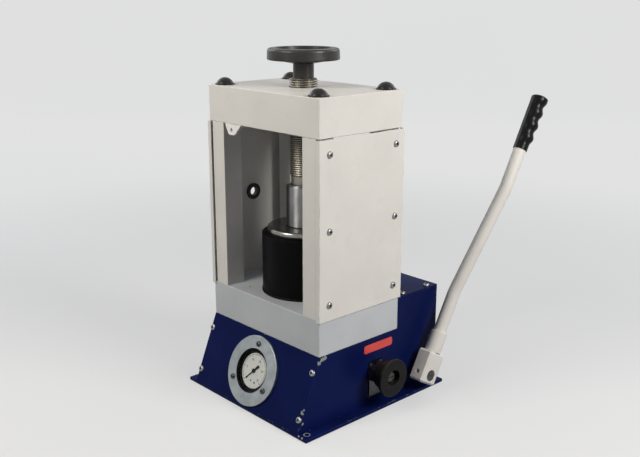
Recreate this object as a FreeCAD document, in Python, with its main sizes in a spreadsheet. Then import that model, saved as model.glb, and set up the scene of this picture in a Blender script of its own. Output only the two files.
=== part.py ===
import FreeCAD, Part
import math
import os
import re

import Sketcher
from FreeCAD import Placement, Rotation, Vector

# Hydraulic laboratory press with a screw-adjusted upper foot, a hand pump and a release valve.
# Millimetres. The ram and the lead screw share the Z axis, the floor is Z = 0, the press
# faces -Y, and the pump lever stands on its +X side.

SIZES = [
    # Press frame: two blocks, four columns between them and a tie rod through each column
    ("frame_width", 225),
    ("frame_depth", 150),
    ("block_thick", 50),
    ("daylight", 235),
    ("edge_break", 0.8),
    ("column_width", 25),
    ("column_depth", 30),
    ("column_inset", 6.5),
    ("rod_side_inset", 17.5),
    ("rod_end_inset", 15),
    ("rod_radius", 6),
    ("rod_play", 0.5),
    ("nut_width", 19),
    ("nut_height", 11),
    ("nut_pocket_radius", 12),
    ("nut_pocket_depth", 20),
    ("cap_radius", 12.5),
    ("cap_rim_radius", 13.4),
    ("cap_rim_thick", 1.5),
    ("cap_height", 10.4),
    # Sheet-metal base, a low front part with a slanted panel and a taller rear part
    ("base_height", 102),
    ("base_front", 114),
    ("base_rear", 159),
    ("rear_drop", 3),
    ("plate_thick", 5),
    ("plate_margin", 17.5),
    ("panel_sheet", 2),
    ("flange_width", 15),
    ("mount_hole_radius", 3.5),
    ("mount_side_inset", 10.5),
    ("mount_end_inset", 11),
    ("panel_screw_rise", 19.5),
    ("panel_screw_drop", 21.5),
    ("cover_screw_inset", 7),
    ("cover_screw_margin", 16),
    # Screws of the sheet parts
    ("screw_radius", 2.5),
    ("screw_head_radius", 4.5),
    ("screw_head_height", 2.8),
    ("screw_play", 0.1),
    # Side covers, folded sheets that stand off the columns
    ("side_sheet", 1.5),
    ("side_gap", 1.1),
    ("side_lip", 7),
    ("side_overhang", 1.9),
    ("side_lap", 2),
    ("side_headroom", 1),
    ("side_screw_pitch", 98),
    ("spacer_radius", 5),
    ("grommet_height", 172.6),
    ("grommet_radius", 12),
    ("grommet_neck_radius", 9),
    ("grommet_bore_radius", 6.25),
    ("grommet_lip", 2.5),
    # Catch for a guard, under the front edge of the upper block
    ("catch_inset", 3.7),
    ("catch_width", 34.9),
    ("catch_tip_inset", 7.8),
    ("catch_tip_width", 13),
    ("catch_drop", 14.8),
    ("catch_thick", 3),
    ("catch_leg", 25),
    ("catch_hole_radius", 2.5),
    ("catch_hole_drop", 8),
    # Ram: cylinder, piston and platen
    ("cylinder_wall", 7.5),
    ("cylinder_height", 87.5),
    ("cylinder_flare", 1),
    ("cylinder_chamfer", 5),
    ("spigot_radius", 20),
    ("spigot_depth", 10),
    ("port_radius", 3),
    ("bore_radius", 40),
    ("bore_floor", 11),
    ("piston_head", 16),
    ("ram_lift", 6.5),
    ("ram_radius", 30),
    ("gland_radius", 46),
    ("gland_thick", 12),
    ("spring_room", 19),
    ("platen_radius", 51.5),
    ("platen_thick", 22),
    ("platen_play", 0.5),
    ("platen_edge", 3.5),
    ("fit_play", 0.05),
    ("touch_gap", 0.3),
    # Lead screw, handwheel and pressure foot
    ("foot_radius", 25),
    ("foot_height", 58),
    ("foot_edge", 2),
    ("foot_recess_depth", 8.3),
    ("thread_radius", 19.5),
    ("thread_depth", 1.8),
    ("thread_pitch", 3),
    ("neck_radius", 17.6),
    ("neck_length", 20),
    ("stem_radius", 12),
    ("stem_length", 28),
    ("stem_groove_radius", 9),
    ("stem_groove_width", 8),
    ("thread_length", 132),
    ("tail_radius", 9),
    ("tail_length", 22),
    ("grub_radius", 4),
    ("hub_radius", 14),
    ("hub_length", 19.6),
    ("wheel_radius", 49),
    ("rim_width", 13),
    ("rim_height", 15.5),
    ("rim_draft", 0.8),
    ("rim_lift", 5),
    ("dish_floor", 6),
    ("wheel_screw_radius", 6),
    ("wheel_screw_height", 4),
    # Pressure gauge in the slanted panel, a little below the panel's middle
    ("gauge_drop", 0.97),
    ("ring_radius", 49),
    ("ring_thick", 4.5),
    ("gauge_bore_radius", 31),
    ("gauge_wall", 2.5),
    ("gauge_depth", 31),
    ("gauge_screw_circle", 38),
    ("gauge_screw_head", 4),
    ("gauge_lip_radius", 24.5),
    ("bezel_land", 0.6),
    ("dial_radius", 28),
    ("dial_depth", 0.9),
    ("dial_thick", 0.8),
    ("glass_thick", 1.5),
    ("glass_rise", 0.9),
    ("needle_tip", 16.5),
    ("needle_tip_width", 0.8),
    ("needle_tail", 11.5),
    ("needle_tail_width", 4),
    ("needle_angle", -131),
    ("needle_width", 1.7),
    ("needle_thick", 0.6),
    ("needle_lift", 0.6),
    ("needle_hub_radius", 3),
    ("stub_radius", 6),
    ("stub_length", 12),
    ("coil_radius", 20),
    ("coil_tube_radius", 3),
    ("pipe_radius", 3),
    ("pipe_bend", 12),
    # Pump, in line with the crank on the lever shaft
    ("pivot_back", 112.4),
    ("pivot_height", 29.3),
    ("shaft_radius", 8),
    ("crank_radius", 22),
    ("crank_lean", 30),
    ("crank_thick", 10),
    ("crank_gap", 2),
    ("crank_hub_radius", 13),
    ("crank_eye_radius", 9),
    ("pin_radius", 5),
    ("pin_length", 18),
    ("pump_gap", 0.5),
    ("pump_level", 49.8),
    ("pump_half_width", 17),
    ("pump_front", 8),
    ("pump_back", 57),
    ("pump_height", 75),
    ("plunger_radius", 7),
    ("plunger_tip", 45),
    ("plunger_stroke", 22),
    ("pump_gland_radius", 14),
    ("pump_gland_length", 12),
    ("yoke_width", 14),
    ("yoke_length", 24),
    ("yoke_height", 22),
    ("yoke_slot_play", 0.5),
    ("bush_radius", 11),
    ("bush_flange_radius", 15),
    ("pedestal_gap", 1.5),
    ("pedestal_width", 11.5),
    ("pedestal_depth", 21),
    ("pedestal_height", 42),
    # Lever: lengths run along the lever from its pivot
    ("lever_tilt", 29.1),
    ("wall_gap", 8.8),
    ("lever_block_thick", 23.9),
    ("lever_block_depth", 34.4),
    ("lever_block_below", 13.1),
    ("lever_block_above", 33.2),
    ("lever_block_edge", 2.5),
    ("lever_grub_radius", 3),
    ("socket_radius", 12),
    ("socket_length", 30.3),
    ("tube_radius", 9.25),
    ("tube_wall", 2),
    ("tube_crank", 22.1),
    ("tube_bend_low", 125.3),
    ("tube_bend_high", 292.4),
    ("tube_bend_radius", 80),
    ("grip_start", 353),
    ("grip_length", 86),
    ("grip_radius_low", 10.5),
    ("grip_radius_high", 11),
    ("grip_wave", 0.75),
    ("grip_ridge_first", 19.8),
    ("grip_ridge_pitch", 19.6),
    ("grip_turn", 60),
    # Oil reservoir
    ("tank_wall_gap", 15.5),
    ("tank_pump_gap", 18),
    ("tank_block_gap", 9),
    ("tank_rear_gap", 7),
    ("tank_headroom", 12),
    ("tank_sheet", 1.5),
    ("plug_radius", 12),
    ("plug_height", 6),
    # Release valve on the right wall
    ("valve_back", 31),
    ("valve_level", 52),
    ("valve_front_half", 12),
    ("valve_bottom", 16),
    ("valve_top", 66),
    ("valve_reach", 1),
    ("valve_play", 1.5),
    ("nut_reach", 13.5),
    ("valve_nut_width", 30),
    ("spindle_radius", 6),
    ("knob_radius", 26.5),
    ("knob_rim", 4.5),
    ("knob_cone_radius", 25),
    ("knob_neck_radius", 19),
    ("knob_length", 20.5),
    ("knob_recess_radius", 11.5),
    ("knob_recess_depth", 8),
    ("knob_screw_radius", 7.5),
    ("knob_screw_height", 3),
    # Plain coloured plate on the right wall
    ("tag_front", 8.3),
    ("tag_length", 55.8),
    ("tag_drop", 8.2),
    ("tag_height", 12),
    ("tag_thick", 0.5),
    ("tag_corner", 3.5),
]
NAMES = {name for name, _ in SIZES}

doc = FreeCAD.newDocument("laboratory_press")
sheet = doc.addObject("Spreadsheet::Sheet", "Sizes")
for row, (name, size) in enumerate(SIZES, start=1):
    sheet.set(f"A{row}", name)
    sheet.set(f"B{row}", str(size))
    sheet.setAlias(f"B{row}", name)
doc.recompute()

# Levels and distances that several pieces share, as formulas of the driving sizes
HALF_WIDTH = "frame_width / 2"
HALF_DEPTH = "frame_depth / 2"
LOWER_TOP = "(base_height + block_thick)"
UPPER_BASE = "(base_height + block_thick + daylight)"
UPPER_TOP = "(base_height + 2 * block_thick + daylight)"
COLUMN_OUT = "(frame_width / 2 - column_inset)"
ROD_ACROSS = "(frame_width / 2 - rod_side_inset)"
ROD_ALONG = "(frame_depth / 2 - rod_end_inset)"
PANEL_RUN = "(base_front - frame_depth / 2)"
PANEL_RISE = "(base_height - plate_thick)"
PANEL_LENGTH = f"sqrt({PANEL_RUN} ^ 2 + {PANEL_RISE} ^ 2)"
PANEL_ANGLE = f"atan({PANEL_RISE} / {PANEL_RUN})"
GAUGE_RISE = f"(0.5 * {PANEL_LENGTH} - gauge_drop)"
REAR_STEP = "(frame_depth / 2 + touch_gap)"
REAR_TOP = "(base_height + block_thick - rear_drop)"
WALL_IN = "(frame_width / 2 - panel_sheet)"
SHELL_IN = "(frame_width / 2 + side_gap)"
SHELL_OUT = "(frame_width / 2 + side_gap + side_sheet)"
CYLINDER_OUT = "(platen_radius + cylinder_wall)"
CYLINDER_TOP = f"({LOWER_TOP} + cylinder_height)"
PISTON_BASE = f"({LOWER_TOP} + bore_floor + ram_lift + 0.5)"
PISTON_TOP = f"({PISTON_BASE} + piston_head)"
GLAND_BASE = f"({PISTON_TOP} + spring_room)"
GLAND_TOP = f"({GLAND_BASE} + gland_thick)"
PLATEN_BASE = f"({GLAND_TOP} + ram_lift + 0.5)"
PLATEN_TOP = f"({PLATEN_BASE} + platen_thick)"
FOOT_BASE = f"({PLATEN_TOP} + touch_gap)"
FOOT_TOP = f"({FOOT_BASE} + foot_height)"
NECK_BASE = f"({FOOT_TOP} - foot_recess_depth + touch_gap)"
THREAD_BASE = f"({NECK_BASE} + neck_length)"
THREAD_TOP = f"({THREAD_BASE} + thread_length)"
STEM_BASE = f"({NECK_BASE} - stem_length)"
STEM_GROOVE = f"({STEM_BASE} + stem_length / 2)"
WHEEL_BASE = f"({THREAD_TOP} + hub_length + rim_lift)"
WHEEL_TOP = f"({WHEEL_BASE} + rim_height)"
WHEEL_FLOOR = f"({WHEEL_TOP} - rim_height + dish_floor)"
PIN_BACK = "(pivot_back + crank_radius * sin(crank_lean))"
PUMP_LINE = "(frame_width / 2 - flange_width - pump_gap - pump_half_width)"
PUMP_LEFT = f"({PUMP_LINE} - pump_half_width)"
PUMP_RIGHT = f"({PUMP_LINE} + pump_half_width)"
CRANK_IN = f"({PUMP_LINE} + yoke_width / 2 + crank_gap)"
SHAFT_IN = f"({CRANK_IN} - pin_length - pedestal_gap - pedestal_width)"
VALVE_OUT = "(frame_width / 2 + valve_reach)"
NUT_OUT = "(frame_width / 2 + valve_reach + nut_reach)"
KNOB_IN = f"({NUT_OUT} + touch_gap + 0.2)"
LEVER_IN = "(frame_width / 2 + wall_gap)"
LEVER_OUT = "(frame_width / 2 + wall_gap + lever_block_thick)"
LEVER_LINE = "(frame_width / 2 + wall_gap + lever_block_thick / 2)"
GRIP_LINE = f"({LEVER_LINE} + tube_crank)"
SPOTS = [(side, end) for end in (-1, 1) for side in (-1, 1)]
ROD_SPOTS = [(f"{side} * {ROD_ACROSS}", f"{end} * {ROD_ALONG}") for side, end in SPOTS]
WORDS = re.compile(r"[a-z_]+")

UP = Rotation()
DOWN = Rotation(Vector(1, 0, 0), 180)
RIGHT = Rotation(Vector(0, 1, 0), 90)
LEFT = Rotation(Vector(0, 1, 0), -90)
FORWARD = Rotation(Vector(1, 0, 0), 90)
BACKWARD = Rotation(Vector(1, 0, 0), -90)
BARS = {"x": RIGHT, "y": BACKWARD, "z": UP}

pieces = []


def formula(text):
    """Turns a text with size names into an expression on the sheet."""
    return WORDS.sub(lambda word: f"Sizes.{word[0]}" if word[0] in NAMES else word[0], text)


def value(text):
    """The number that a text with size names stands for."""
    number = sheet.evalExpression(formula(text))
    return float(getattr(number, "Value", number))


def bind(thing, **sizes):
    for field, text in sizes.items():
        thing.setExpression(field, formula(text))
    return thing


def place(thing, spot=("0", "0", "0"), turn=UP):
    """Puts a thing at a spot written in sizes, after a fixed turn."""
    thing.Placement = Placement(Vector(), turn)
    for axis, text in zip("xyz", spot):
        thing.setExpression(f"Placement.Base.{axis}", formula(text))
    return thing


def lean(thing, spot, angle):
    """Puts a thing at a spot, turned about X by an angle written in sizes."""
    place(thing, spot, Rotation(Vector(1, 0, 0), 10))
    thing.setExpression("Placement.Rotation.Angle", formula(angle))
    return thing


def on_panel(thing, across="0", up="0"):
    """Puts a thing on the slanted panel: X across, Y up the slope, Z straight out of it."""
    back = f"(-base_front + ({up}) * {PANEL_RUN} / {PANEL_LENGTH})"
    height = f"(plate_thick + ({up}) * {PANEL_RISE} / {PANEL_LENGTH})"
    return lean(thing, (across, back, height), PANEL_ANGLE)


def on_gauge(thing):
    return on_panel(thing, "0", GAUGE_RISE)


def on_lever(thing, across="0"):
    """Puts a thing on the lever: X across, Z along the lever from the shaft's axis."""
    return lean(thing, (across, "pivot_back", "pivot_height"), "-1 * lever_tilt")


def piece(label, thing):
    thing.Label = label
    pieces.append(thing)
    return thing


def box(x, y, z):
    """A block between two values on each axis."""
    block = doc.addObject("Part::Box", "Block")
    for side, (low, high) in zip(("Length", "Width", "Height"), (x, y, z)):
        block.setExpression(side, formula(f"({high}) - ({low})"))
    return place(block, (x[0], y[0], z[0]))


def bar(axis, radius, low, high, first="0", second="0"):
    """A round bar along an axis, with its centre given on the other two axes."""
    rod = bind(doc.addObject("Part::Cylinder", "Bar"), Radius=radius, Height=f"({high}) - ({low})")
    spots = {"x": (low, first, second), "y": (first, low, second), "z": (first, second, low)}
    return place(rod, spots[axis], BARS[axis])


def less(solid, tool):
    result = doc.addObject("Part::Cut", "Cut")
    result.Base = solid
    result.Tool = tool
    return result


def joined(*solids):
    result = doc.addObject("Part::MultiFuse", "Join")
    result.Shapes = list(solids)
    return result


def group(solids):
    result = doc.addObject("Part::Compound", "Group")
    result.Links = list(solids)
    return result


def new_body():
    return doc.addObject("PartDesign::Body", "Body")


def sketch_on(body, plane, lift="0"):
    """An empty sketch on a plane of the body, lifted along the plane's normal."""
    sketch = body.newObject("Sketcher::SketchObject", "Sketch")
    support = next(item for item in body.Origin.OriginFeatures if item.Role == f"{plane}_Plane")
    sketch.AttachmentSupport = [(support, "")]
    sketch.MapMode = "FlatFace"
    sketch.setExpression("AttachmentOffset.Base.z", formula(lift))
    return sketch


def pin(sketch, geometry, end, spot):
    """Ties a point of a sketch to a spot written in sizes."""
    for kind, axis, text in (("DistanceX", -2, spot[0]), ("DistanceY", -1, spot[1])):
        size = value(text)
        if abs(size) < 1e-6:
            sketch.addConstraint(Sketcher.Constraint("PointOnObject", geometry, end, axis))
        else:
            number = sketch.addConstraint(Sketcher.Constraint(kind, -1, 1, geometry, end, size))
            sketch.setExpression(f"Constraints[{number}]", formula(text))


def outline(body, plane, spots, lift="0"):
    """A closed outline of straight edges through spots written in sizes."""
    sketch = sketch_on(body, plane, lift)
    corners = [Vector(value(x), value(y), 0) for x, y in spots]
    ends = corners[1:] + corners[:1]
    sketch.addGeometry([Part.LineSegment(start, end) for start, end in zip(corners, ends)])
    count = len(spots)
    for number in range(count):
        after = (number + 1) % count
        sketch.addConstraint(Sketcher.Constraint("Coincident", number, 2, after, 1))
    for number, spot in enumerate(spots):
        pin(sketch, number, 1, spot)
    return sketch


def rectangle(x, y):
    return [(x[0], y[0]), (x[1], y[0]), (x[1], y[1]), (x[0], y[1])]


def pad(body, sketch, length, flip=False):
    feature = bind(body.newObject("PartDesign::Pad", "Pad"), Length=length)
    feature.Profile = sketch
    feature.Reversed = flip
    return body


def pocket(body, sketch, depth=None, flip=False):
    """Cuts a sketch's outline to a depth, or right through where no depth is given."""
    feature = body.newObject("PartDesign::Pocket", "Pocket")
    feature.Profile = sketch
    if depth:
        bind(feature, Length=depth)
    else:
        feature.Type = "ThroughAll"
        feature.SideType = "Symmetric"
    feature.Reversed = flip
    return body


def drill(body, plane, spots, radius, lift="0", depth=None, flip=False):
    """Round holes at spots on a lifted plane, to a depth or right through."""
    sketch = sketch_on(body, plane, lift)
    for number, spot in enumerate(spots):
        centre = Vector(value(spot[0]), value(spot[1]), 0)
        sketch.addGeometry(Part.Circle(centre, Vector(0, 0, 1), value(radius)))
        size = sketch.addConstraint(Sketcher.Constraint("Radius", number, value(radius)))
        sketch.setExpression(f"Constraints[{size}]", formula(radius))
        pin(sketch, number, 3, spot)
    return pocket(body, sketch, depth, flip)


def turned(spots):
    """A body turned about its Z axis from an outline of radius and height pairs."""
    body = new_body()
    sketch = outline(body, "XZ", spots)
    feature = body.newObject("PartDesign::Revolution", "Revolution")
    feature.Profile = sketch
    axis = next(item for item in body.Origin.OriginFeatures if item.Role == "Z_Axis")
    feature.ReferenceAxis = (axis, [""])
    feature.Angle = 360
    return body


def ring(inner, outer, low, high):
    return turned([(inner, low), (outer, low), (outer, high), (inner, high)])


def tip_edges(body, pick):
    doc.recompute()
    edges = body.Tip.Shape.Edges
    return [f"Edge{number}" for number, edge in enumerate(edges, start=1) if pick(edge)]


def chamfer(body, size, pick=lambda edge: True):
    names = tip_edges(body, pick)
    base = body.Tip
    feature = bind(body.newObject("PartDesign::Chamfer", "Chamfer"), Size=size)
    feature.Base = (base, names)
    return body


def fillet(body, radius, pick):
    names = tip_edges(body, pick)
    base = body.Tip
    feature = bind(body.newObject("PartDesign::Fillet", "Fillet"), Radius=radius)
    feature.Base = (base, names)
    return body


def circle_at(radius, height):
    """Picks the round edges of a radius at a height in the body's own frame."""
    wanted, level = value(radius), value(height)

    def pick(edge):
        curve = edge.Curve
        if not isinstance(curve, Part.Circle):
            return False
        return abs(curve.Radius - wanted) < 0.01 and abs(curve.Center.z - level) < 0.01

    return pick


def upright(edge):
    """Picks edges that run along Z in the body's own frame."""
    low, high = edge.BoundBox.ZMin, edge.BoundBox.ZMax
    return high - low > 0.99 * edge.Length


def screw(spot, turn, length, head="screw_head_radius"):
    """A pan-head screw: its head stands on the spot and its shank runs down from it."""
    dome = bind(doc.addObject("Part::Cone", "Head"), Radius1=head, Radius2=f"0.72 * {head}",
                Height="screw_head_height")
    shank = bar("z", "screw_radius", f"-1 * ({length})", "0")
    return place(joined(dome, shank), spot, turn)


def screw_hole(spot, turn, depth):
    """The round hole that a screw's shank passes; the turn points into the metal."""
    hole = bind(doc.addObject("Part::Cylinder", "Hole"), Height=depth,
                Radius="screw_radius + screw_play")
    return place(hole, spot, turn)


def round_tube(label, spots, bend, outer, inner=None):
    """A tube along straight runs joined by arcs, through spots given as numbers."""
    path = tube_path([Vector(*spot) for spot in spots], bend)
    start = path.Edges[0]
    aim = start.tangentAt(start.FirstParameter)
    first = Part.Wire(Part.makeCircle(outer, start.Vertexes[0].Point, aim))
    solid = path.makePipeShell([first], True, False)
    if inner:
        hole = Part.Wire(Part.makeCircle(inner, start.Vertexes[0].Point, aim))
        solid = solid.cut(path.makePipeShell([hole], True, False))
    tube = doc.addObject("Part::Feature", label)
    tube.Shape = solid
    return tube


def tube_path(spots, bend):
    edges = []
    start = spots[0]
    for before, corner, after in zip(spots, spots[1:], spots[2:]):
        come = (corner - before).normalize()
        leave = (after - corner).normalize()
        turn = come.getAngle(leave)
        reach = bend * math.tan(turn / 2)
        enter = corner - come * reach
        exit_spot = corner + leave * reach
        inward = (leave - come).normalize()
        middle = corner + inward * (bend / math.cos(turn / 2) - bend)
        edges.append(Part.LineSegment(start, enter).toShape())
        edges.append(Part.Arc(enter, middle, exit_spot).toShape())
        start = exit_spot
    edges.append(Part.LineSegment(start, spots[-1]).toShape())
    return Part.Wire(edges)


def front_line(height, inward):
    """Y of the slanted panel's outer face at a height, moved inward square to the panel."""
    slope = f"({PANEL_RUN} / {PANEL_RISE})"
    shift = f"({inward}) * sqrt(1 + {slope} ^ 2)"
    return f"(-frame_depth / 2 - (base_height - ({height})) * {slope} + {shift})"


def base_plate():
    body = new_body()
    sides = ("-frame_width / 2 - plate_margin", "frame_width / 2 + plate_margin")
    pad(body, outline(body, "XY", rectangle(sides, ("-base_front", "base_rear"))), "plate_thick")
    chamfer(body, "edge_break")
    across = "(frame_width / 2 + plate_margin - mount_side_inset)"
    spots = [(f"{side} * {across}", back) for side in (-1, 1)
             for back in ("mount_end_inset - base_front", "base_rear - mount_end_inset")]
    drill(body, "XY", spots, "mount_hole_radius")
    piece("base_plate", body)


def pan_outline(inset):
    """Side view of the base's side wall, drawn in from its edges by an inset."""
    floor = f"plate_thick + {inset}"
    low_top = f"base_height - ({inset})"
    high_top = f"{REAR_TOP} - panel_sheet - ({inset})"
    back = f"base_rear - panel_sheet - ({inset})"
    step = f"{REAR_STEP} + {inset}"
    lap = f"panel_sheet + {inset}"
    return [
        (front_line(floor, lap), floor),
        (front_line(low_top, lap), low_top),
        (step, low_top),
        (step, high_top),
        (back, high_top),
        (back, floor),
    ]


def base_screw_spots():
    """Spots, outward turns and setting function of the base's panel screws."""
    across = f"({HALF_WIDTH} - 0.27 * flange_width)"
    rear_across = f"({HALF_WIDTH} - cover_screw_inset)"
    steps = (f"{REAR_STEP} + cover_screw_margin", "base_rear - cover_screw_margin")
    spots = []
    for side in (-1, 1):
        for up in ("panel_screw_rise", f"{PANEL_LENGTH} - panel_screw_drop"):
            spots.append(("panel", (f"{side} * {across}", up)))
        for back in steps:
            spots.append(("top", (f"{side} * {rear_across}", back, REAR_TOP)))
        for level in (f"0.2 * {REAR_TOP}", f"0.8 * {REAR_TOP}"):
            spots.append(("back", (f"{side} * {rear_across}", "base_rear", level)))
    return spots


def base_screws():
    """The panel screws and the holes that they pass in the sheet."""
    length = "3 * panel_sheet"
    screws = []
    holes = []
    for face, spot in base_screw_spots():
        if face == "panel":
            screws.append(on_panel(screw(("0", "0", "0"), UP, length), *spot))
            hole = screw_hole(("0", "0", f"-1 * {length}"), UP, length)
            holes.append(on_panel(group([hole]), *spot))
        elif face == "top":
            screws.append(screw(spot, UP, length))
            holes.append(screw_hole(spot, DOWN, length))
        else:
            screws.append(screw(spot, BACKWARD, length))
            holes.append(screw_hole(spot, FORWARD, length))
    piece("panel_screws", group(screws))
    return group(holes)


def side_pan(label, side, holes):
    """A side wall of the base, a folded sheet with a flange all round."""
    body = new_body()
    edge = f"{HALF_WIDTH} - flange_width" if side > 0 else f"-1 * {HALF_WIDTH}"
    open_face = edge if side > 0 else f"-1 * {HALF_WIDTH} + flange_width"
    pad(body, outline(body, "YZ", pan_outline("0"), edge), "flange_width")
    recess = outline(body, "YZ", pan_outline("panel_sheet"), open_face)
    pocket(body, recess, "flange_width - panel_sheet", flip=side > 0)
    if side > 0:
        window = rectangle(
            ("valve_back - valve_front_half - valve_play", "valve_back + valve_front_half + valve_play"),
            ("valve_bottom - valve_play", "valve_top + valve_play"),
        )
        pocket(body, outline(body, "YZ", window))
        drill(body, "YZ", [("pivot_back", "pivot_height")], "bush_radius + fit_play")
    piece(label, less(body, holes))


def front_panel(holes):
    body = new_body()
    sides = (f"-1 * {HALF_WIDTH}", HALF_WIDTH)
    pad(body, outline(body, "XY", rectangle(sides, ("0", PANEL_LENGTH))), "panel_sheet", flip=True)
    hole = "gauge_bore_radius + gauge_wall + 2 * fit_play"
    drill(body, "XY", [("0", GAUGE_RISE)], hole)
    top_trim = box(sides, (f"-1 * {HALF_DEPTH} - 10", "0"), ("base_height", "base_height + 10"))
    foot_trim = box(sides, ("-base_front - 5", "-base_front + 15"), ("-5", "plate_thick"))
    trims = group([top_trim, foot_trim])
    piece("front_panel", less(less(on_panel(body), holes), trims))


def rear_cover(holes):
    body = new_body()
    step = REAR_STEP
    spots = [
        (step, f"{REAR_TOP} - panel_sheet"),
        ("base_rear - panel_sheet", f"{REAR_TOP} - panel_sheet"),
        ("base_rear - panel_sheet", "plate_thick"),
        ("base_rear", "plate_thick"),
        ("base_rear", REAR_TOP),
        (step, REAR_TOP),
    ]
    pad(body, outline(body, "YZ", spots, f"-1 * {HALF_WIDTH}"), "frame_width")
    piece("rear_cover", less(body, holes))


def block_blank(floor):
    """A squared block with broken edges and the four tie-rod holes."""
    body = new_body()
    area = rectangle((f"-1 * {HALF_WIDTH}", HALF_WIDTH), (f"-1 * {HALF_DEPTH}", HALF_DEPTH))
    pad(body, outline(body, "XY", area, floor), "block_thick")
    chamfer(body, "edge_break")
    return drill(body, "XY", ROD_SPOTS, "rod_radius + rod_play", floor)


def lower_block():
    body = block_blank("base_height")
    drill(body, "XY", ROD_SPOTS, "nut_pocket_radius", "base_height", "nut_pocket_depth", flip=True)
    centre = [("0", "0")]
    drill(body, "XY", centre, "spigot_radius + fit_play", LOWER_TOP, "spigot_depth")
    drill(body, "XY", centre, "port_radius", LOWER_TOP)
    drill(body, "XY", centre, "pipe_radius + fit_play", "base_height", "spigot_depth", flip=True)
    drill(body, "XY", [("-0.25 * frame_width", "-0.36 * frame_depth")], "0.6 * pipe_radius",
          LOWER_TOP, "spigot_depth")
    piece("lower_block", body)


def upper_block():
    body = block_blank(UPPER_BASE)
    drill(body, "XY", ROD_SPOTS, "nut_pocket_radius", UPPER_TOP, "nut_pocket_depth")
    drill(body, "XY", [("0", "0")], "thread_radius + fit_play", UPPER_BASE)
    piece("upper_block", body)


def column(label, side, end):
    body = new_body()
    if side > 0:
        across = (f"{COLUMN_OUT} - column_width", COLUMN_OUT)
    else:
        across = (f"-1 * {COLUMN_OUT}", f"column_width - {COLUMN_OUT}")
    if end > 0:
        along = (f"{HALF_DEPTH} - column_depth", HALF_DEPTH)
    else:
        along = (f"-1 * {HALF_DEPTH}", f"column_depth - {HALF_DEPTH}")
    pad(body, outline(body, "XY", rectangle(across, along), LOWER_TOP), "daylight")
    chamfer(body, "0.5 * edge_break", upright)
    rod = (f"{side} * {ROD_ACROSS}", f"{end} * {ROD_ALONG}")
    drill(body, "XY", [rod], "rod_radius + rod_play", LOWER_TOP)
    spots = [(f"{end} * {ROD_ALONG}", level) for level in side_screw_levels()]
    drill(body, "YZ", spots, "screw_radius + fit_play", f"{side} * {COLUMN_OUT}",
          "column_inset / 2 + 1", flip=side < 0)
    piece(label, body)


def side_screw_levels():
    middle = f"({LOWER_TOP} + daylight / 2)"
    return [f"({middle} + {step} * side_screw_pitch)" for step in (-1, 0, 1)]


def tie_rods():
    nut_base = "(base_height + nut_pocket_depth - nut_height)"
    nut_top = f"({UPPER_TOP} - nut_pocket_depth)"
    rods = []
    for spot in ROD_SPOTS:
        rod = bar("z", "rod_radius", f"{nut_base} - 2", f"{nut_top} + nut_height + 2", *spot)
        nuts = []
        for level in (nut_base, nut_top):
            nut = doc.addObject("Part::Prism", "Nut")
            nut.Polygon = 6
            bind(nut, Circumradius="nut_width / sqrt(3)", Height="nut_height")
            nuts.append(place(nut, (*spot, level)))
        rods.append(joined(rod, *nuts))
    piece("tie_rods", group(rods))


def tie_rod_caps():
    """Plastic caps over the upper nuts, each with a hollow skirt in the nut's pocket."""
    skirt = "nut_pocket_radius - fit_play"
    depth = "-0.25 * nut_pocket_depth"
    caps = []
    for spot in ROD_SPOTS:
        cap = turned([
            ("0", "cap_height"),
            ("0", "cap_rim_thick"),
            ("nut_pocket_radius - 1.5", "cap_rim_thick"),
            ("nut_pocket_radius - 1.5", depth),
            (skirt, depth),
            (skirt, "0"),
            ("cap_rim_radius", "0"),
            ("cap_rim_radius", "cap_rim_thick"),
            ("cap_radius", "cap_rim_thick"),
            ("cap_radius", "cap_height"),
        ])
        fillet(cap, "0.75 * cap_height", circle_at("cap_radius", "cap_height"))
        caps.append(place(cap, (*spot, UPPER_TOP)))
    piece("tie_rod_caps", group(caps))


def side_cover(label, side):
    """A sheet folded into a shallow channel, open at the top and at the bottom."""
    body = new_body()
    back = "frame_depth / 2 + side_overhang"
    lip = f"{side} * ({SHELL_OUT} - side_lip)"
    web = f"{side} * {SHELL_IN}"
    face = f"{side} * {SHELL_OUT}"
    inner = f"{back} - side_sheet"
    profile = [
        (lip, f"-1 * ({back})"), (face, f"-1 * ({back})"), (face, back), (lip, back),
        (lip, inner), (web, inner), (web, f"-1 * ({inner})"), (lip, f"-1 * ({inner})"),
    ]
    height = "daylight - side_headroom + side_lap"
    pad(body, outline(body, "XY", profile, f"{LOWER_TOP} - side_lap"), height)

    def outer_fold(edge):
        return upright(edge) and abs(abs(edge.BoundBox.XMin) - value(SHELL_OUT)) < 0.01

    fillet(body, "0.7 * side_sheet", outer_fold)
    spots = [(f"{end} * {ROD_ALONG}", level) for end in (-1, 1) for level in side_screw_levels()]
    drill(body, "YZ", spots, "screw_radius + screw_play")
    if side < 0:
        hole = [("0", f"base_height + grommet_height")]
        drill(body, "YZ", hole, "grommet_neck_radius + fit_play")
    piece(label, body)


def side_cover_fixings():
    """Spacers between the covers and the columns, and the screws that pass them."""
    spacers = []
    screws = []
    for side in (-1, 1):
        turn = RIGHT if side > 0 else LEFT
        for end in (-1, 1):
            for level in side_screw_levels():
                back = f"{end} * {ROD_ALONG}"
                spacer = ring("screw_radius + screw_play", "spacer_radius", "0",
                              "column_inset + side_gap")
                spacers.append(place(spacer, (f"{side} * {COLUMN_OUT}", back, level), turn))
                length = "side_sheet + side_gap + 1.5 * column_inset"
                screws.append(screw((f"{side} * {SHELL_OUT}", back, level), turn, length))
    piece("side_cover_spacers", group(spacers))
    piece("side_cover_screws", group(screws))


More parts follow.
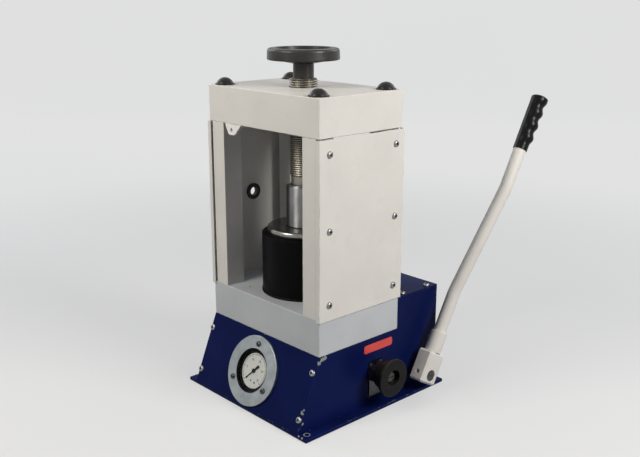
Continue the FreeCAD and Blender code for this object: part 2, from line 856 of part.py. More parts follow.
def cover_grommet():
    body = turned([
        ("grommet_bore_radius", "-grommet_lip"),
        ("grommet_radius", "-grommet_lip"),
        ("grommet_radius", "0"),
        ("grommet_neck_radius", "0"),
        ("grommet_neck_radius", "side_sheet"),
        ("grommet_radius", "side_sheet"),
        ("grommet_radius", "side_sheet + grommet_lip"),
        ("grommet_bore_radius", "side_sheet + grommet_lip"),
    ])
    fillet(body, "0.6 * grommet_lip", circle_at("grommet_radius", "side_sheet + grommet_lip"))
    spot = (f"-1 * {SHELL_IN}", "0", "base_height + grommet_height")
    piece("cover_grommet", place(body, spot, LEFT))


def guard_catch():
    """A bent tab screwed under the upper block, with a pin hole in its hanging leg."""
    body = new_body()
    left = f"(column_width + catch_inset - {COLUMN_OUT})"
    right = f"({left} + catch_width)"
    tip = f"({left} + catch_tip_inset)"
    face = [
        (left, UPPER_BASE),
        (tip, f"{UPPER_BASE} - catch_drop"),
        (f"{tip} + catch_tip_width", f"{UPPER_BASE} - catch_drop"),
        (right, UPPER_BASE),
    ]
    pad(body, outline(body, "XZ", face, HALF_DEPTH), "catch_thick", flip=True)

    def tip_corner(edge):
        low = edge.BoundBox.ZMax < value(f"{UPPER_BASE} - catch_drop") + 0.01
        return low and edge.BoundBox.YLength > 0.9 * edge.Length

    fillet(body, "0.4 * catch_drop", tip_corner)
    hole = [(f"{tip} + catch_tip_width / 2", f"{UPPER_BASE} - catch_hole_drop")]
    drill(body, "XZ", hole, "catch_hole_radius", HALF_DEPTH)
    leg = box((left, right),
              (f"-1 * {HALF_DEPTH} + catch_thick", f"-1 * {HALF_DEPTH} + catch_leg"),
              (f"{UPPER_BASE} - catch_thick", UPPER_BASE))
    piece("guard_catch", joined(body, leg))


def ram_cylinder():
    counterbore = f"{GLAND_TOP} + 0.2"
    body = turned([
        ("port_radius", f"{LOWER_TOP} - spigot_depth + 0.2"),
        ("spigot_radius", f"{LOWER_TOP} - spigot_depth + 0.2"),
        ("spigot_radius", LOWER_TOP),
        (f"{CYLINDER_OUT} + cylinder_flare", LOWER_TOP),
        (f"{CYLINDER_OUT} + cylinder_flare", f"{LOWER_TOP} + 2"),
        (CYLINDER_OUT, f"{LOWER_TOP} + 2 + cylinder_flare"),
        (CYLINDER_OUT, f"{CYLINDER_TOP} - 0.7 * cylinder_chamfer"),
        (f"{CYLINDER_OUT} - cylinder_chamfer", CYLINDER_TOP),
        ("platen_radius + platen_play", CYLINDER_TOP),
        ("platen_radius + platen_play", counterbore),
        ("gland_radius + fit_play", counterbore),
        ("gland_radius + fit_play", GLAND_BASE),
        ("bore_radius", GLAND_BASE),
        ("bore_radius", f"{LOWER_TOP} + bore_floor"),
        ("port_radius", f"{LOWER_TOP} + bore_floor"),
    ])
    piece("ram_cylinder", body)


def ram_inner_pieces():
    groove_low = f"{PISTON_BASE} + 0.3 * piston_head"
    groove_high = f"{PISTON_BASE} + 0.7 * piston_head"
    groove_radius = "0.9 * bore_radius"
    head = "bore_radius - fit_play"
    pin_radius = "0.4 * ram_radius"
    pin_top = f"{PLATEN_BASE} + 0.4 * platen_thick"
    piston = turned([
        ("0", PISTON_BASE),
        (head, PISTON_BASE),
        (head, groove_low),
        (groove_radius, groove_low),
        (groove_radius, groove_high),
        (head, groove_high),
        (head, PISTON_TOP),
        ("ram_radius", PISTON_TOP),
        ("ram_radius", PLATEN_BASE),
        (pin_radius, PLATEN_BASE),
        (pin_radius, pin_top),
        ("0", pin_top),
    ])
    piece("ram_piston", piston)
    seal = ring(f"{groove_radius} + fit_play", f"{head} + 0.6 * fit_play", f"{groove_low} + fit_play",
                f"{groove_high} - fit_play")
    piece("piston_seal", seal)
    piece("cylinder_gland", ring("ram_radius + fit_play", "gland_radius", GLAND_BASE, GLAND_TOP))
    platen = turned([
        ("0", f"{pin_top} + 0.2"),
        (f"{pin_radius} + fit_play", f"{pin_top} + 0.2"),
        (f"{pin_radius} + fit_play", PLATEN_BASE),
        ("platen_radius", PLATEN_BASE),
        ("platen_radius", PLATEN_TOP),
        ("0", PLATEN_TOP),
    ])
    fillet(platen, "platen_edge", circle_at("platen_radius", PLATEN_TOP))
    piece("ram_platen", platen)


def return_springs():
    """Stack of disc springs round the rod, between the piston and the gland."""
    turns = 6
    inner = "ram_radius + 1"
    outer = "bore_radius - 1.5"
    wall = "0.2 * (bore_radius - ram_radius)"
    near = []
    far = []
    for step in range(turns + 1):
        level = f"{PISTON_TOP} + 0.1 + {step} * (spring_room - 0.2) / {turns}"
        odd = step % 2
        near.append((f"{outer} - {wall}" if odd else inner, level))
        far.append((outer if odd else f"{inner} + {wall}", level))
    piece("return_springs", turned(near + far[::-1]))


def pressure_foot():
    body = turned([
        ("0", FOOT_BASE),
        ("foot_radius", FOOT_BASE),
        ("foot_radius", FOOT_TOP),
        ("neck_radius + 1.5", FOOT_TOP),
        ("neck_radius + 1.5", f"{FOOT_TOP} - foot_recess_depth"),
        ("stem_radius + fit_play", f"{FOOT_TOP} - foot_recess_depth"),
        ("stem_radius + fit_play", f"{STEM_BASE} - touch_gap"),
        ("0", f"{STEM_BASE} - touch_gap"),
    ])
    chamfer(body, "foot_edge", circle_at("foot_radius", FOOT_TOP))
    chamfer(body, "0.4 * foot_edge", circle_at("foot_radius", FOOT_BASE))
    reach = "foot_radius + 1"
    hole = "grub_radius + fit_play"
    across = bar("x", hole, "0", reach, "0", STEM_GROOVE)
    along = bar("y", hole, "0", reach, "0", STEM_GROOVE)
    piece("pressure_foot", less(less(body, across), along))


def foot_retaining_screws():
    """Two set screws whose noses run in the lead screw's groove."""
    nose = "stem_groove_width / 2 - touch_gap"
    low = "stem_groove_radius + touch_gap"
    screws = []
    for turn in (RIGHT, BACKWARD):
        screw_body = turned([
            ("0", low),
            (nose, low),
            (nose, "stem_radius"),
            ("grub_radius", "stem_radius + 1"),
            ("grub_radius", "foot_radius - 0.5"),
            ("0.5 * grub_radius", "foot_radius - 0.5"),
            ("0.5 * grub_radius", "foot_radius - 0.5 - 0.8 * grub_radius"),
            ("0", "foot_radius - 0.5 - 0.8 * grub_radius"),
        ])
        screws.append(place(screw_body, ("0", "0", STEM_GROOVE), turn))
    piece("foot_retaining_screws", group(screws))


def lead_screw():
    """The screw's thread is a row of ring grooves, one pitch apart."""
    groove_low = f"{STEM_GROOVE} - stem_groove_width / 2"
    groove_high = f"{STEM_GROOVE} + stem_groove_width / 2"
    body = turned([
        ("0", STEM_BASE),
        ("stem_radius", STEM_BASE),
        ("stem_radius", groove_low),
        ("stem_groove_radius", groove_low),
        ("stem_groove_radius", groove_high),
        ("stem_radius", groove_high),
        ("stem_radius", NECK_BASE),
        ("neck_radius", NECK_BASE),
        ("neck_radius", THREAD_BASE),
        ("thread_radius", f"{THREAD_BASE} + thread_radius - neck_radius"),
        ("thread_radius", THREAD_TOP),
        ("tail_radius", THREAD_TOP),
        ("tail_radius", f"{THREAD_TOP} + tail_length"),
        ("0", f"{THREAD_TOP} + tail_length"),
    ])
    first = f"{THREAD_BASE} + thread_radius - neck_radius + thread_pitch"
    cut = outline(body, "XZ", [
        ("thread_radius + 0.2", f"{first} - 0.5 * thread_pitch"),
        ("thread_radius - thread_depth", f"{first} - 0.06 * thread_pitch"),
        ("thread_radius - thread_depth", f"{first} + 0.06 * thread_pitch"),
        ("thread_radius + 0.2", f"{first} + 0.5 * thread_pitch"),
    ])
    axis = next(item for item in body.Origin.OriginFeatures if item.Role == "Z_Axis")
    groove = body.newObject("PartDesign::Groove", "Groove")
    groove.Profile = cut
    groove.ReferenceAxis = (axis, [""])
    groove.Angle = 360
    count = "floor((thread_length - thread_radius + neck_radius) / thread_pitch - 1)"
    pattern = body.newObject("PartDesign::LinearPattern", "LinearPattern")
    pattern.Originals = [groove]
    pattern.Direction = (axis, [""])
    bind(pattern, Length=f"thread_pitch * ({count} - 1)", Occurrences=count)
    body.Tip = pattern
    piece("lead_screw", body)


def handwheel():
    hub_bore = "tail_radius + fit_play"
    dish = "wheel_radius - rim_width"
    body = turned([
        (hub_bore, f"{THREAD_TOP} + fit_play"),
        ("hub_radius", f"{THREAD_TOP} + fit_play"),
        ("hub_radius", f"{THREAD_TOP} + hub_length"),
        (f"{dish} + 0.3 * rim_width", WHEEL_BASE),
        ("wheel_radius", WHEEL_BASE),
        ("wheel_radius - rim_draft", WHEEL_TOP),
        (f"{dish} + 1", WHEEL_TOP),
        (dish, WHEEL_FLOOR),
        (hub_bore, WHEEL_FLOOR),
    ])
    fillet(body, "0.25 * rim_height", circle_at("wheel_radius - rim_draft", WHEEL_TOP))
    fillet(body, "0.12 * rim_height", circle_at("wheel_radius", WHEEL_BASE))
    piece("handwheel", body)


def handwheel_screw():
    """Screw and washer in the wheel's dish, with a driver recess."""
    washer = "tail_radius + 2"
    body = turned([
        ("0", f"{THREAD_TOP} + tail_length"),
        ("tail_radius", f"{THREAD_TOP} + tail_length"),
        ("tail_radius", WHEEL_FLOOR),
        (washer, WHEEL_FLOOR),
        (washer, f"{WHEEL_FLOOR} + 1.5"),
        ("wheel_screw_radius", f"{WHEEL_FLOOR} + 1.5"),
        ("wheel_screw_radius", f"{WHEEL_FLOOR} + 1.5 + wheel_screw_height"),
        ("0.5 * wheel_screw_radius", f"{WHEEL_FLOOR} + 1.5 + wheel_screw_height"),
        ("0.5 * wheel_screw_radius", f"{WHEEL_FLOOR} + 1.5 + 0.3 * wheel_screw_height"),
        ("0", f"{WHEEL_FLOOR} + 1.5 + 0.3 * wheel_screw_height"),
    ])
    piece("handwheel_screw", body)


def bezel_radius(height):
    """Radius of the funnel that runs from the dial's opening out to the flange's face."""
    widening = "(gauge_bore_radius - fit_play - bezel_land - gauge_lip_radius)"
    return f"(gauge_lip_radius + ({height} + dial_depth) * {widening} / (ring_thick + dial_depth))"


def gauge_shell():
    """Flange, case, bezel ring, dial and glass of the gauge, in the slanted panel's frame."""
    flange = ring("gauge_bore_radius", "ring_radius", "0", "ring_thick")
    chamfer(flange, "0.2 * ring_thick", circle_at("ring_radius", "ring_thick"))
    holes = [(f"gauge_screw_circle * cos({angle})", f"gauge_screw_circle * sin({angle})")
             for angle in (90, 210, 330)]
    drill(flange, "XY", holes, "screw_radius + screw_play")
    piece("gauge_flange", on_gauge(flange))

    back = "-1 * gauge_depth"
    floor = "gauge_wall - gauge_depth"
    seat = "glass_rise - touch_gap"
    outer = "gauge_bore_radius + gauge_wall"
    rim = "gauge_bore_radius - fit_play"
    case = turned([
        ("stub_radius + fit_play", back),
        (outer, back),
        (outer, "0"),
        (rim, "0"),
        (rim, seat),
        (bezel_radius(seat), seat),
        ("gauge_lip_radius", "-dial_depth"),
        ("gauge_bore_radius", "-dial_depth"),
        ("gauge_bore_radius", floor),
        ("stub_radius + fit_play", floor),
    ])
    piece("gauge_case", on_gauge(case))
    over_glass = "glass_rise + glass_thick + touch_gap"
    bezel = turned([
        (bezel_radius(over_glass), over_glass),
        (rim, over_glass),
        (rim, "ring_thick"),
        (f"{rim} - bezel_land", "ring_thick"),
    ])
    piece("gauge_bezel", on_gauge(bezel))
    dial_back = "-dial_depth - dial_thick"
    piece("gauge_dial", on_gauge(ring("1.5", "dial_radius", dial_back, "-dial_depth")))
    glass = turned([
        ("0", "glass_rise"),
        (rim, "glass_rise"),
        (rim, "glass_rise + glass_thick"),
        ("0", "glass_rise + glass_thick"),
    ])
    piece("gauge_window", on_gauge(glass))


def gauge_flange_screws():
    screws = []
    for angle in (90, 210, 330):
        across = f"gauge_screw_circle * cos({angle})"
        up = f"{GAUGE_RISE} + gauge_screw_circle * sin({angle})"
        fixing = screw(("0", "0", "ring_thick"), UP, "ring_thick - touch_gap", "gauge_screw_head")
        screws.append(on_panel(group([fixing]), across, up))
    piece("gauge_flange_screws", group(screws))


def gauge_needle():
    """The pointer turns about the dial's centre; it is drawn along X and then turned."""
    low = "-dial_depth + needle_lift"
    body = new_body()
    blade = [
        ("-needle_tail", "-needle_tail_width / 2"),
        ("0", "-needle_width / 2"),
        ("needle_tip", "-needle_tip_width / 2"),
        ("needle_tip", "needle_tip_width / 2"),
        ("0", "needle_width / 2"),
        ("-needle_tail", "needle_tail_width / 2"),
    ]
    pad(body, outline(body, "XY", blade, low), "needle_thick")
    hub = bar("z", "needle_hub_radius", "-dial_depth + 0.2", f"{low} + needle_thick + 0.4")
    spindle = bar("z", "1.1", "-dial_depth - dial_thick - 4", "-dial_depth + 0.4")
    needle = place(joined(body, hub, spindle), turn=Rotation(Vector(0, 0, 1), 10))
    needle.setExpression("Placement.Rotation.Angle", formula("needle_angle"))
    piece("gauge_needle", on_gauge(group([needle])))


def gauge_inside():
    """Socket block with its stem, and the bent tube spring soldered into it."""
    floor = "gauge_wall - gauge_depth"
    front = "-dial_depth - dial_thick - 5"
    end = "-gauge_depth - stub_length"
    block = box(("-8", "8"), ("-coil_radius - 5", "8"), (f"{floor} + 0.1", front))
    stem = bar("z", "stub_radius", end, f"{floor} + 1")
    socket = joined(block, stem)
    piece("gauge_socket", on_gauge(group([socket])))
    coil = bind(doc.addObject("Part::Torus", "Coil"), Radius1="coil_radius",
                Radius2="coil_tube_radius")
    coil.Angle3 = 260
    place(coil, ("0", "0", f"({floor} + {front}) / 2"), Rotation(Vector(0, 0, 1), -80))
    piece("bourdon_tube", on_gauge(group([less(coil, block)])))


def pipes():
    """Oil pipes: pump to ram, pump to gauge, and reservoir to pump."""
    port = value("base_height + spigot_depth - 0.3")
    level = value("0.45 * base_height")
    radius = value("pipe_radius")
    bend = value("pipe_bend")
    left = value(PUMP_LEFT)
    ram_run = [(left, 0, level), (0, 0, level), (0, 0, port)]
    piece("ram_pipe", round_tube("ram_pipe", ram_run, bend, radius, radius / 2))

    slope = math.radians(value(PANEL_ANGLE))
    inward = (math.sin(slope), -math.cos(slope))
    rise = value(GAUGE_RISE)
    face = (value("-base_front") + rise * math.cos(slope), value("plate_thick") + rise * math.sin(slope))
    depth = value("gauge_depth + stub_length")
    start = [face[axis] + inward[axis] * depth for axis in (0, 1)]
    knee = [face[axis] + inward[axis] * (depth + 1.4 * bend) for axis in (0, 1)]
    front = value("-pump_front")
    gauge_run = [
        (0, *start),
        (0, *knee),
        (value(PUMP_LINE), knee[0], knee[1]),
        (value(PUMP_LINE), front, knee[1]),
    ]
    piece("gauge_pipe", round_tube("gauge_pipe", gauge_run, 0.9 * bend, radius, radius / 2))

    tank = value("frame_depth / 2 + tank_block_gap")
    low = value("pivot_height")
    middle = value(f"0.5 * {PUMP_LEFT}")
    pump_middle = value("0.8 * pump_back")
    suction_run = [(middle, tank, low), (middle, pump_middle, low), (left, pump_middle, low)]
    piece("suction_pipe", round_tube("suction_pipe", suction_run, bend, radius, radius / 2))


def pump_block():
    body = new_body()
    area = rectangle((PUMP_LEFT, PUMP_RIGHT), ("-pump_front", "pump_back"))
    pad(body, outline(body, "XY", area, "plate_thick"), "pump_height - plate_thick")
    chamfer(body, "edge_break")
    depth = "pump_back - plunger_tip + plunger_stroke + 3"
    drill(body, "XZ", [(PUMP_LINE, "pump_level")], "plunger_radius + fit_play", "-pump_back",
          depth, flip=True)
    piece("pump_block", body)
    gland_end = "pump_back + pump_gland_length"
    shell = bar("y", "pump_gland_radius", "pump_back", gland_end, PUMP_LINE, "pump_level")
    bore = bar("y", "plunger_radius + fit_play", "pump_back", gland_end, PUMP_LINE, "pump_level")
    piece("pump_gland", less(shell, bore))


def pump_plunger():
    """The plunger carries a yoke with an upright slot for the crank's pin."""
    yoke_front = f"({PIN_BACK} - yoke_length / 2)"
    rod = bar("y", "plunger_radius", "plunger_tip", f"{yoke_front} + 1", PUMP_LINE, "pump_level")
    across = (f"{PUMP_LINE} - yoke_width / 2", f"{PUMP_LINE} + yoke_width / 2")
    yoke = box(across, (yoke_front, f"{yoke_front} + yoke_length"),
               ("pump_level - yoke_height / 2", "pump_level + yoke_height / 2"))
    play = "pin_radius + yoke_slot_play"
    low = "pivot_height + crank_radius * cos(crank_lean) - pin_radius - 2 * yoke_slot_play"
    high = "pivot_height + crank_radius + pin_radius + 2 * yoke_slot_play"
    wide = (f"{PUMP_LINE} - yoke_width", f"{PUMP_LINE} + yoke_width")
    slot = box(wide, (f"{PIN_BACK} - ({play})", f"{PIN_BACK} + {play}"), (low, high))
    piece("pump_plunger", less(joined(rod, yoke), slot))


def lever_crank():
    near = CRANK_IN
    far = f"{CRANK_IN} + crank_thick"
    hub = bar("x", "crank_hub_radius", near, far)
    eye = bar("x", "crank_eye_radius", near, far, "0", "crank_radius")
    arm = box((near, far), ("-crank_eye_radius", "crank_eye_radius"), ("0", "crank_radius"))
    bore = bar("x", "shaft_radius + fit_play", near, far)
    pin_bar = bar("x", "pin_radius", f"{near} - pin_length", f"{near} + 1", "0", "crank_radius")
    crank = joined(less(joined(hub, eye, arm), bore), pin_bar)
    spot = ("0", "pivot_back", "pivot_height")
    piece("lever_crank", lean(group([crank]), spot, "-crank_lean"))


def lever_shaft():
    rod = bar("x", "shaft_radius", SHAFT_IN, f"{LEVER_OUT} + 0.5")
    slot = box((f"{LEVER_OUT} - 1.5", f"{LEVER_OUT} + 1"), ("-20", "20"), ("-1", "1"))
    piece("lever_shaft", on_lever(group([less(rod, slot)])))


def shaft_bearings():
    """A flanged bush in the side wall and a pedestal at the shaft's inner end."""
    bore = "shaft_radius + fit_play"
    inner = f"{CRANK_IN} + crank_thick + crank_gap"
    outer = f"{LEVER_IN} - touch_gap"
    flange = f"{WALL_IN} - 2"
    bush = turned([
        (bore, inner),
        ("bush_radius", inner),
        ("bush_radius", flange),
        ("bush_flange_radius", flange),
        ("bush_flange_radius", WALL_IN),
        ("bush_radius", WALL_IN),
        ("bush_radius", outer),
        (bore, outer),
    ])
    place(bush, ("0", "pivot_back", "pivot_height"), RIGHT)
    pedestal = box((SHAFT_IN, f"{SHAFT_IN} + pedestal_width"),
                   ("pivot_back - pedestal_depth / 2", "pivot_back + pedestal_depth / 2"),
                   ("plate_thick", "pedestal_height"))
    hole = bar("x", bore, f"{SHAFT_IN} - 1", f"{SHAFT_IN} + pedestal_width + 1", "pivot_back",
               "pivot_height")
    piece("shaft_bearings", group([bush, less(pedestal, hole)]))


def lever_block():
    body = new_body()
    depth = ("-lever_block_depth / 2", "lever_block_depth / 2")
    area = rectangle((LEVER_IN, LEVER_OUT), depth)
    height = "lever_block_below + lever_block_above"
    pad(body, outline(body, "XY", area, "-lever_block_below"), height)
    chamfer(body, "lever_block_edge")
    drill(body, "YZ", [("0", "0")], "shaft_radius + fit_play")
    drill(body, "XZ", [(LEVER_LINE, "0")], "lever_grub_radius", "lever_block_depth / 2",
          "lever_block_depth / 2 - shaft_radius")
    piece("lever_block", on_lever(body))


def lever_socket():
    body = ring("tube_radius + fit_play", "socket_radius", "lever_block_above",
                "lever_block_above + socket_length")
    chamfer(body, "0.4 * edge_break",
            circle_at("socket_radius", "lever_block_above + socket_length"))
    piece("lever_socket", on_lever(body, LEVER_LINE))


def lever_tube():
    low = value(LEVER_LINE)
    high = value(GRIP_LINE)
    run = [
        (low, 0, value("lever_block_above + 0.5")),
        (low, 0, value("tube_bend_low")),
        (high, 0, value("tube_bend_high")),
        (high, 0, value("grip_start + 0.9 * grip_length")),
    ]
    radius = value("tube_radius")
    tube = round_tube("lever_tube", run, value("tube_bend_radius"), radius,
                      radius - value("tube_wall"))
    piece("lever_tube", on_lever(tube))


def lever_grip():
    """A moulded grip: round sections that swell on one side into finger ridges."""
    steps = 36
    end = "0.95 * grip_length"
    first = "(grip_ridge_first - grip_ridge_pitch / 2)"
    last = "(grip_ridge_first + 3 * grip_ridge_pitch)"
    sections = []
    for step in range(steps + 1):
        up = f"({step / steps:.4f} * {end})"
        swell = f"{step / steps:.4f} * (grip_radius_high - grip_radius_low)"
        turn = f"360 * ({up} - grip_ridge_first) / grip_ridge_pitch"
        wave = f"({up} < {first} ? -1 : ({up} > {last} ? 1 : cos({turn})))"
        radius = f"(grip_radius_low + {swell} + (1 + {wave}) * grip_wave)"
        shift = f"({radius} - grip_radius_low)"
        spot = (f"{shift} * cos(grip_turn)", f"{shift} * sin(grip_turn)", f"grip_start + {up}")
        section = bind(doc.addObject("Part::Circle", "Section"), Radius=radius)
        sections.append(place(section, spot))
    loft = doc.addObject("Part::Loft", "Loft")
    loft.Sections = sections
    loft.Solid = True
    crown = bind(doc.addObject("Part::Ellipsoid", "Crown"), Radius1="0.05 * grip_length",
                 Radius2=radius, Radius3=radius)
    crown.Angle1 = 0
    place(crown, spot)
    bore = bar("z", "tube_radius + fit_play", "grip_start - 5", "grip_start + 0.9 * grip_length + 0.2")
    grip = less(joined(loft, crown), bore)
    piece("lever_grip", on_lever(group([grip]), GRIP_LINE))


def oil_reservoir():
    left = f"(tank_wall_gap - {WALL_IN})"
    right = f"({PUMP_LEFT} - tank_pump_gap)"
    front = "(frame_depth / 2 + tank_block_gap)"
    back = "(base_rear - panel_sheet - tank_rear_gap)"
    top = f"({REAR_TOP} - panel_sheet - tank_headroom)"
    outer = box((left, right), (front, back), ("plate_thick", top))
    inner = box((f"{left} + tank_sheet", f"{right} - tank_sheet"),
                (f"{front} + tank_sheet", f"{back} - tank_sheet"),
                ("plate_thick + tank_sheet", f"{top} - tank_sheet"))
    middle = (f"({left} + {right}) / 2", f"({front} + {back}) / 2")
    hole = bar("z", "0.6 * plug_radius + fit_play", f"{top} - 5", f"{top} + 1", *middle)
    piece("oil_reservoir", less(less(outer, inner), hole))
    plug = turned([
        ("0", "-2 * tank_sheet"),
        ("0.6 * plug_radius", "-2 * tank_sheet"),
        ("0.6 * plug_radius", "0"),
        ("plug_radius", "0"),
        ("plug_radius", "plug_height"),
        ("0", "plug_height"),
    ])
    piece("filler_plug", place(plug, (*middle, top)))


def release_valve():
    """Valve body through the side wall, gland nut, spindle, knob and knob screw."""
    axis = ("valve_back", "valve_level")
    body = box((PUMP_RIGHT, VALVE_OUT),
               ("valve_back - valve_front_half", "valve_back + valve_front_half"),
               ("valve_bottom", "valve_top"))
    bore = bar("x", "spindle_radius + fit_play", f"{PUMP_RIGHT} + 8", VALVE_OUT, *axis)
    piece("valve_body", less(body, bore))

    nut = doc.addObject("Part::Prism", "Nut")
    nut.Polygon = 6
    bind(nut, Circumradius="valve_nut_width / sqrt(3)", Height="nut_reach")
    place(nut, (VALVE_OUT, *axis), RIGHT)
    nut_bore = bar("x", "spindle_radius + fit_play", VALVE_OUT, NUT_OUT, *axis)
    piece("valve_gland_nut", less(nut, nut_bore))

    face = f"({KNOB_IN} + knob_length)"
    pit = f"({face} - knob_recess_depth)"
    spindle_end = f"({KNOB_IN} + 0.5 * (knob_length - knob_recess_depth))"
    spindle = bar("x", "spindle_radius", f"{PUMP_RIGHT} + 10", spindle_end, *axis)
    piece("valve_spindle", spindle)

    knob = turned([
        ("spindle_radius + fit_play", KNOB_IN),
        ("knob_neck_radius", KNOB_IN),
        ("knob_cone_radius", f"{face} - knob_rim"),
        ("knob_radius", f"{face} - knob_rim"),
        ("knob_radius", face),
        ("knob_recess_radius", face),
        ("knob_recess_radius", pit),
        ("0.5 * spindle_radius", pit),
        ("0.5 * spindle_radius", f"{spindle_end} + fit_play"),
        ("spindle_radius + fit_play", f"{spindle_end} + fit_play"),
    ])
    for level in (face, f"{face} - knob_rim"):
        fillet(knob, "0.2 * knob_rim", circle_at("knob_radius", level))
    piece("release_knob", place(knob, ("0", *axis), RIGHT))

    head = turned([
        ("0", f"{spindle_end} + 2 * fit_play"),
        ("0.5 * spindle_radius - fit_play", f"{spindle_end} + 2 * fit_play"),
        ("0.5 * spindle_radius - fit_play", pit),
        ("knob_screw_radius", pit),
        ("knob_screw_radius", f"{pit} + knob_screw_height"),
        ("0", f"{pit} + knob_screw_height"),
    ])
    fillet(head, "0.4 * knob_screw_height", circle_at("knob_screw_radius", f"{pit} + knob_screw_height"))
    slot = box((f"{pit} + 0.6 * knob_screw_height", f"{pit} + 2 * knob_screw_height"),
               ("valve_back - knob_screw_radius", "valve_back + knob_screw_radius"),
               ("valve_level - 0.1 * knob_screw_radius", "valve_level + 0.1 * knob_screw_radius"))
    piece("knob_screw", less(place(head, ("0", *axis), RIGHT), slot))


def label_plate():
    body = new_body()
    top = "(base_height - tag_drop)"
    area = rectangle(("tag_front", "tag_front + tag_length"), (f"{top} - tag_height", top))
    pad(body, outline(body, "YZ", area, HALF_WIDTH), "tag_thick")
    fillet(body, "tag_corner", lambda edge: edge.BoundBox.XLength > 0.9 * edge.Length)
    piece("label_plate", body)


base_plate()
sheet_holes = base_screws()
side_pan("base_side_left", -1, sheet_holes)
side_pan("base_side_right", 1, sheet_holes)
front_panel(sheet_holes)
rear_cover(sheet_holes)
lower_block()
upper_block()
for side, end in SPOTS:
    column(f"column_{'front' if end < 0 else 'rear'}_{'left' if side < 0 else 'right'}", side, end)
tie_rods()
tie_rod_caps()
side_cover("side_cover_left", -1)
side_cover("side_cover_right", 1)
side_cover_fixings()
cover_grommet()
guard_catch()
ram_cylinder()
ram_inner_pieces()
return_springs()
pressure_foot()
foot_retaining_screws()
lead_screw()
handwheel()
handwheel_screw()
gauge_shell()
gauge_flange_screws()
gauge_needle()
gauge_inside()
pipes()
pump_block()
pump_plunger()
lever_crank()
lever_shaft()
shaft_bearings()
lever_block()
lever_socket()
lever_tube()
lever_grip()
oil_reservoir()
release_valve()
label_plate()
doc.recompute()

for thing in doc.Objects:
    if {"Invalid", "Error"} & set(thing.State):
        raise RuntimeError(f"{thing.Name} ({thing.Label}) did not rebuild: {thing.State}")
for thing in pieces:
    if thing.Shape.isNull() or not thing.Shape.isValid():
        raise RuntimeError(f"{thing.Label} has no valid shape")

os.makedirs("parts", exist_ok=True)
for thing in pieces:
    thing.Shape.exportStep(f"parts/{thing.Label}.step")
    print(f"{thing.Label}: {len(thing.Shape.Solids)} solids, {thing.Shape.Volume / 1000:.2f} cm3")
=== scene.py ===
import math

import bmesh
import bpy
from mathutils import Matrix, Vector


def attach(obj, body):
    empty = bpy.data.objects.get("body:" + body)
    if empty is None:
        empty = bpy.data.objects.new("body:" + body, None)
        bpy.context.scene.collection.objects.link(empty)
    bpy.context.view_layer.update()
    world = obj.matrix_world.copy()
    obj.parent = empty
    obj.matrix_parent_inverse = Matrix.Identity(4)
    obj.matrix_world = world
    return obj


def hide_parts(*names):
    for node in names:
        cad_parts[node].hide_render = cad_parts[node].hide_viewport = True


# Hydraulic laboratory press: a pillar frame on a sheet-metal base that hides the hand pump, with
# a ram below, a screw-set foot above, a slanted gauge panel in front and a pump lever at the side.

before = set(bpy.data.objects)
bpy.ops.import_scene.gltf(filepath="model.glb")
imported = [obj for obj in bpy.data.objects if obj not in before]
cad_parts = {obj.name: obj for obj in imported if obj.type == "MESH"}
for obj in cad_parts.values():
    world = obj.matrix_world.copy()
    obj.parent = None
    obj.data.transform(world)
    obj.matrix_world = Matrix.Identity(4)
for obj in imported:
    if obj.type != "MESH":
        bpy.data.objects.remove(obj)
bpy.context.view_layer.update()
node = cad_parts

# Camera
# The photograph looks down on the press from its front right, through a mild long lens. Its place
# and direction were solved from the press's upright and level edges.
MM = 0.001
IMAGE_WIDTH = 640
FOCAL_PIXELS = 863.7
SENSOR_WIDTH = 36
NEAREST_SEEN = 0.05
FARTHEST_SEEN = 60
CAMERA_PLACE = Vector((872.1, -777.3, 561.1)) * MM
CAMERA_AZIMUTH = math.radians(47.195)
CAMERA_DOWN = math.radians(15.391)
CAMERA_ROLL = math.radians(0.075)
camera_data = bpy.data.cameras.new("photo_camera")
camera_data.sensor_width = SENSOR_WIDTH
camera_data.lens = SENSOR_WIDTH * FOCAL_PIXELS / IMAGE_WIDTH
camera_data.clip_start = NEAREST_SEEN
camera_data.clip_end = FARTHEST_SEEN
camera = bpy.data.objects.new("photo_camera", camera_data)
bpy.context.scene.collection.objects.link(camera)
camera.matrix_world = (
    Matrix.Translation(CAMERA_PLACE)
    @ Matrix.Rotation(CAMERA_AZIMUTH, 4, "Z")
    @ Matrix.Rotation(math.pi / 2 - CAMERA_DOWN, 4, "X")
    @ Matrix.Rotation(CAMERA_ROLL, 4, "Z")
)
bpy.context.scene.camera = camera
bpy.context.scene.view_settings.view_transform = "Standard"

# Studio floor
# A sheet of matt pale paper that lies flat under the press and sweeps up behind it. To the camera
# and in mirrors it turns evenly pale with distance, and it throws little light back on the press.


def linear(code):
    """The linear colour of an sRGB hex code."""
    shares = [int(code[at:at + 2], 16) / 255 for at in (1, 3, 5)]
    return [s / 12.92 if s <= 0.04045 else ((s + 0.055) / 1.055) ** 2.4 for s in shares] + [1.0]


RGBA = {"data_type": "RGBA"}


def add(tree, kind, settings=None, **inputs):
    """Adds a shader node; an input is a number, a hex colour or another node's socket."""
    made = tree.nodes.new(kind)
    for name, setting in (settings or {}).items():
        setattr(made, name, setting)
    for name, given in inputs.items():
        socket = made.inputs[int(name[1:]) if name[1:].isdigit() else name.replace("_", " ")]
        if isinstance(given, bpy.types.NodeSocket):
            tree.links.new(given, socket)
        else:
            socket.default_value = linear(given) if isinstance(given, str) else given
    return made


def seen_rays(tree):
    """1 for rays of the camera and for those that mirrors and glass send on, 0 for the rest."""
    path = add(tree, "ShaderNodeLightPath")
    direct = add(tree, "ShaderNodeMath", {"operation": "MAXIMUM"}, _0=path.outputs["Is Camera Ray"],
                 _1=path.outputs["Is Glossy Ray"])
    return add(tree, "ShaderNodeMath", {"operation": "MAXIMUM"}, _0=direct.outputs[0],
               _1=path.outputs["Is Transmission Ray"]).outputs[0]


